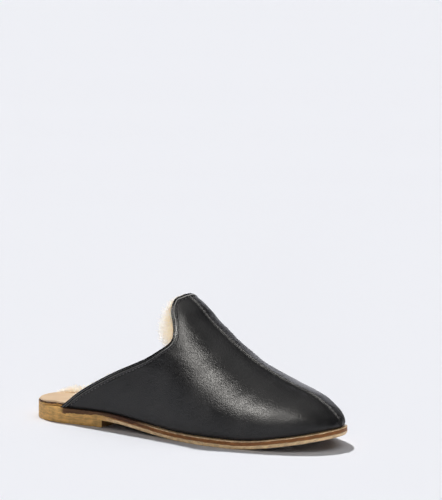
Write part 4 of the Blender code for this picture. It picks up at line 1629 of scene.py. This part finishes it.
@dataclass
class Studio:
    """Camera, pale floor and soft light."""

    yaw: float = 29.21
    pitch: float = 8.56
    roll: float = 0.43
    distance: float = 3.0
    offset: tuple[float, float] = (0.1211, 0.1379)
    lens: float = 261.3
    backdrop: tuple[float, float, float] = (240, 241, 246)
    floor_size: float = 12.0
    horizon_light: float = 0.10
    zenith_light: float = 0.05
    gloss_light: float = 0.03
    sun_power: float = 2.76
    sun_width: float = 3.0
    sun_way: tuple[float, float, float] = (-0.60, 0.40, 1.0)
    sky_power: float = 0.74
    sky_width: float = 60.0
    sky_way: tuple[float, float, float] = (0.35, 0.30, 1.0)
    fill_power: float = 0.57
    fill_width: float = 8.0
    fill_way: tuple[float, float, float] = (0.40, -0.90, 0.05)
    lamps: Sequence[Lamp] = field(
        default_factory=lambda: (
            Lamp("high_box", (0.65, 1.04, 2.26), (0.10, 0.0, 0.05), (1.30, 1.30), 5.0, (1.0, 0.99, 0.98)),
            Lamp("side_box", (0.18, -1.70, 1.70), (0.10, 0.0, 0.02), (1.20, 0.56), 84.0, (1.0, 0.975, 0.93)),
            Lamp("rim_box", (-1.31, -1.06, 1.75), (0.10, 0.0, 0.05), (0.34, 0.20), 5.0, (1.0, 0.98, 0.95)),
            Lamp("back_box", (-1.10, 2.30, 0.60), (0.12, 0.0, 0.05), (1.90, 0.80), 9.0, (0.92, 0.92, 1.0)),
            Lamp("top_box", (0.10, 0.15, 2.60), (0.12, 0.0, 0.05), (1.60, 1.20), 5.0, (1.0, 0.99, 0.97)),
        )
    )

    def axes(self) -> tuple[Vector, Vector, Vector]:
        """Right, up and back of the view, from the object to the camera."""
        turn, rise, roll = radians(self.yaw), radians(self.pitch), radians(self.roll)
        level = Vector((cos(turn), sin(turn), 0))
        back = Vector((sin(turn) * cos(rise), -cos(turn) * cos(rise), sin(rise)))
        upright = back.cross(level)
        return cos(roll) * level + sin(roll) * upright, cos(roll) * upright - sin(roll) * level, back

    def build_camera(self) -> None:
        """Make the camera, at the photograph's angle."""
        right, up, back = self.axes()
        data = bpy.data.cameras.new("camera")
        data.lens = self.lens
        data.clip_end = 100
        camera = bpy.data.objects.new("camera", data)
        camera.location = self.distance * back + self.offset[0] * right + self.offset[1] * up
        camera.rotation_euler = Matrix((right, up, back)).transposed().to_euler()
        bpy.context.scene.collection.objects.link(camera)
        bpy.context.scene.camera = camera

    def build_floor(self) -> None:
        """Make the floor and its finish."""
        mesh = bpy.data.meshes.new("floor")
        work = bmesh.new()
        bmesh.ops.create_grid(work, x_segments=4, y_segments=4, size=self.floor_size)
        work.to_mesh(mesh)
        work.free()
        floor = bpy.data.objects.new("floor", mesh)
        bpy.context.scene.collection.objects.link(floor)
        material, _, surface = new_finish("pale_floor")
        set_values(surface, Roughness=1.0, Specular_IOR_Level=0.0)
        surface.inputs["Base Color"].default_value = tint(*self.backdrop)
        mesh.materials.append(material)

    def build_lamps(self) -> None:
        """Make the far lights, which give form and shadow, and the soft boxes that only gloss shows."""
        far_lights = (
            ("sun", self.sun_power, self.sun_width, self.sun_way),
            ("high_fill", self.sky_power, self.sky_width, self.sky_way),
            ("low_fill", self.fill_power, self.fill_width, self.fill_way),
        )
        for name, power, width, way in far_lights:
            data = bpy.data.lights.new(name, "SUN")
            data.energy = power
            data.angle = radians(width)
            sun = bpy.data.objects.new(name, data)
            sun.rotation_euler = Vector(way).to_track_quat("Z", "Y").to_euler()
            sun.visible_glossy = False
            bpy.context.scene.collection.objects.link(sun)
        for lamp in self.lamps:
            data = bpy.data.lights.new(lamp.name, "AREA")
            data.shape = "RECTANGLE"
            data.size, data.size_y = lamp.size
            data.energy = lamp.power
            data.color = lamp.colour
            box = bpy.data.objects.new(lamp.name, data)
            box.location = lamp.place
            way = Vector(lamp.aim) - Vector(lamp.place)
            box.rotation_euler = way.to_track_quat("-Z", "Y").to_euler()
            box.visible_diffuse = False
            bpy.context.scene.collection.objects.link(box)

    def build_world(self) -> None:
        """Make the light from all round: brighter low down, and nearly dark to gloss."""
        world = bpy.data.worlds.new("surround")
        world.use_nodes = True
        graph = Graph(world.node_tree)
        shade = world.node_tree.nodes["Background"]
        shade.inputs["Color"].default_value = tint(*self.backdrop)
        way = graph.add("ShaderNodeTexCoord").outputs["Generated"]
        height = graph.add("ShaderNodeSeparateXYZ", {0: way}).outputs["Z"]
        soft = graph.spread(height, 0.25, 0.65, self.horizon_light, self.zenith_light)
        path = graph.add("ShaderNodeLightPath")
        dark = graph.math("SUBTRACT", soft, self.gloss_light)
        drop = graph.math("MULTIPLY", dark, path.outputs["Is Glossy Ray"])
        graph.tree.links.new(graph.math("SUBTRACT", soft, drop), shade.inputs["Strength"])
        bpy.context.scene.world = world
        bpy.context.scene.view_settings.view_transform = "Standard"

    def build(self) -> None:
        """Make everything that isn't part of the shoe."""
        self.build_camera()
        self.build_floor()
        self.build_lamps()
        self.build_world()


def main() -> None:
    """Build the studio and every piece of the shoe."""
    logging.basicConfig(level=logging.INFO, format="%(name)s: %(message)s")
    Studio().build()
    last = Last()
    groups = Groups(leather_grain(), fibre_streaks())
    black = LeatherFinish("charcoal_leather", (25, 25, 26), (34, 33, 34)).material(groups)
    # The piping's cord carries a pale painted highlight along its crest at the tab.
    piping = LeatherFinish(
        "piping_leather", (19, 19, 20), (25, 25, 25), (0.13, 0.21), relief=0.35, shine=0.8, painted_highlight=(176, 174, 168)
    ).material(groups)
    thread = LeatherFinish("waxed_thread", (84, 82, 84), (118, 116, 116), pebble=3000.0).material(groups)
    # Pale paints the highlight on the rounded bevel and top lip of the sole and heel edges.
    tan, pale, burnish, dark = (214, 168, 100), (250, 217, 170), (148, 95, 50), (72, 38, 20)
    sole_edge = EdgeFinish("burnished_edge", tan, pale, burnish, dark).material(groups)
    # The heel edge's breast face gets painted shade in the dark colour.
    heel_edge = EdgeFinish("heel_edge", tan, pale, tan, dark, band=1.0, painted_breast_shade=0.0424).material(groups)
    board_edge = EdgeFinish(
        "insole_edge", tan, pale, dark, dark, band=0.0015, band_reach=(-0.0275, -0.024, 0.2, 0.3), band_thins=(1.0, 2.0)
    ).material(groups)
    cream = SuedeFinish("cream_sock", (236, 208, 172), (222, 188, 150)).material(groups)
    # Both wool finishes carry a painted glow, standing in for light scattered between fibres.
    wool = FleeceFinish("shearling_wool", (232, 210, 174), (250, 238, 216), glow=0.08).material()
    fibre = FleeceFinish(
        "shearling_fibre", (248, 230, 203), (255, 248, 236), fibres=True, scatter=0.0003, glow=0.2
    ).material()
    Upper(last).build(black)
    Binding(last).build(piping)
    Stitching(last).build(thread)
    sole = Sole(last)
    sole.build_outsole(sole_edge)
    sole.build_heel(heel_edge)
    Footbed(last).build(board_edge, cream)
    Fleece(last).build(wool, fibre)


if __name__ == "__main__":
    main()
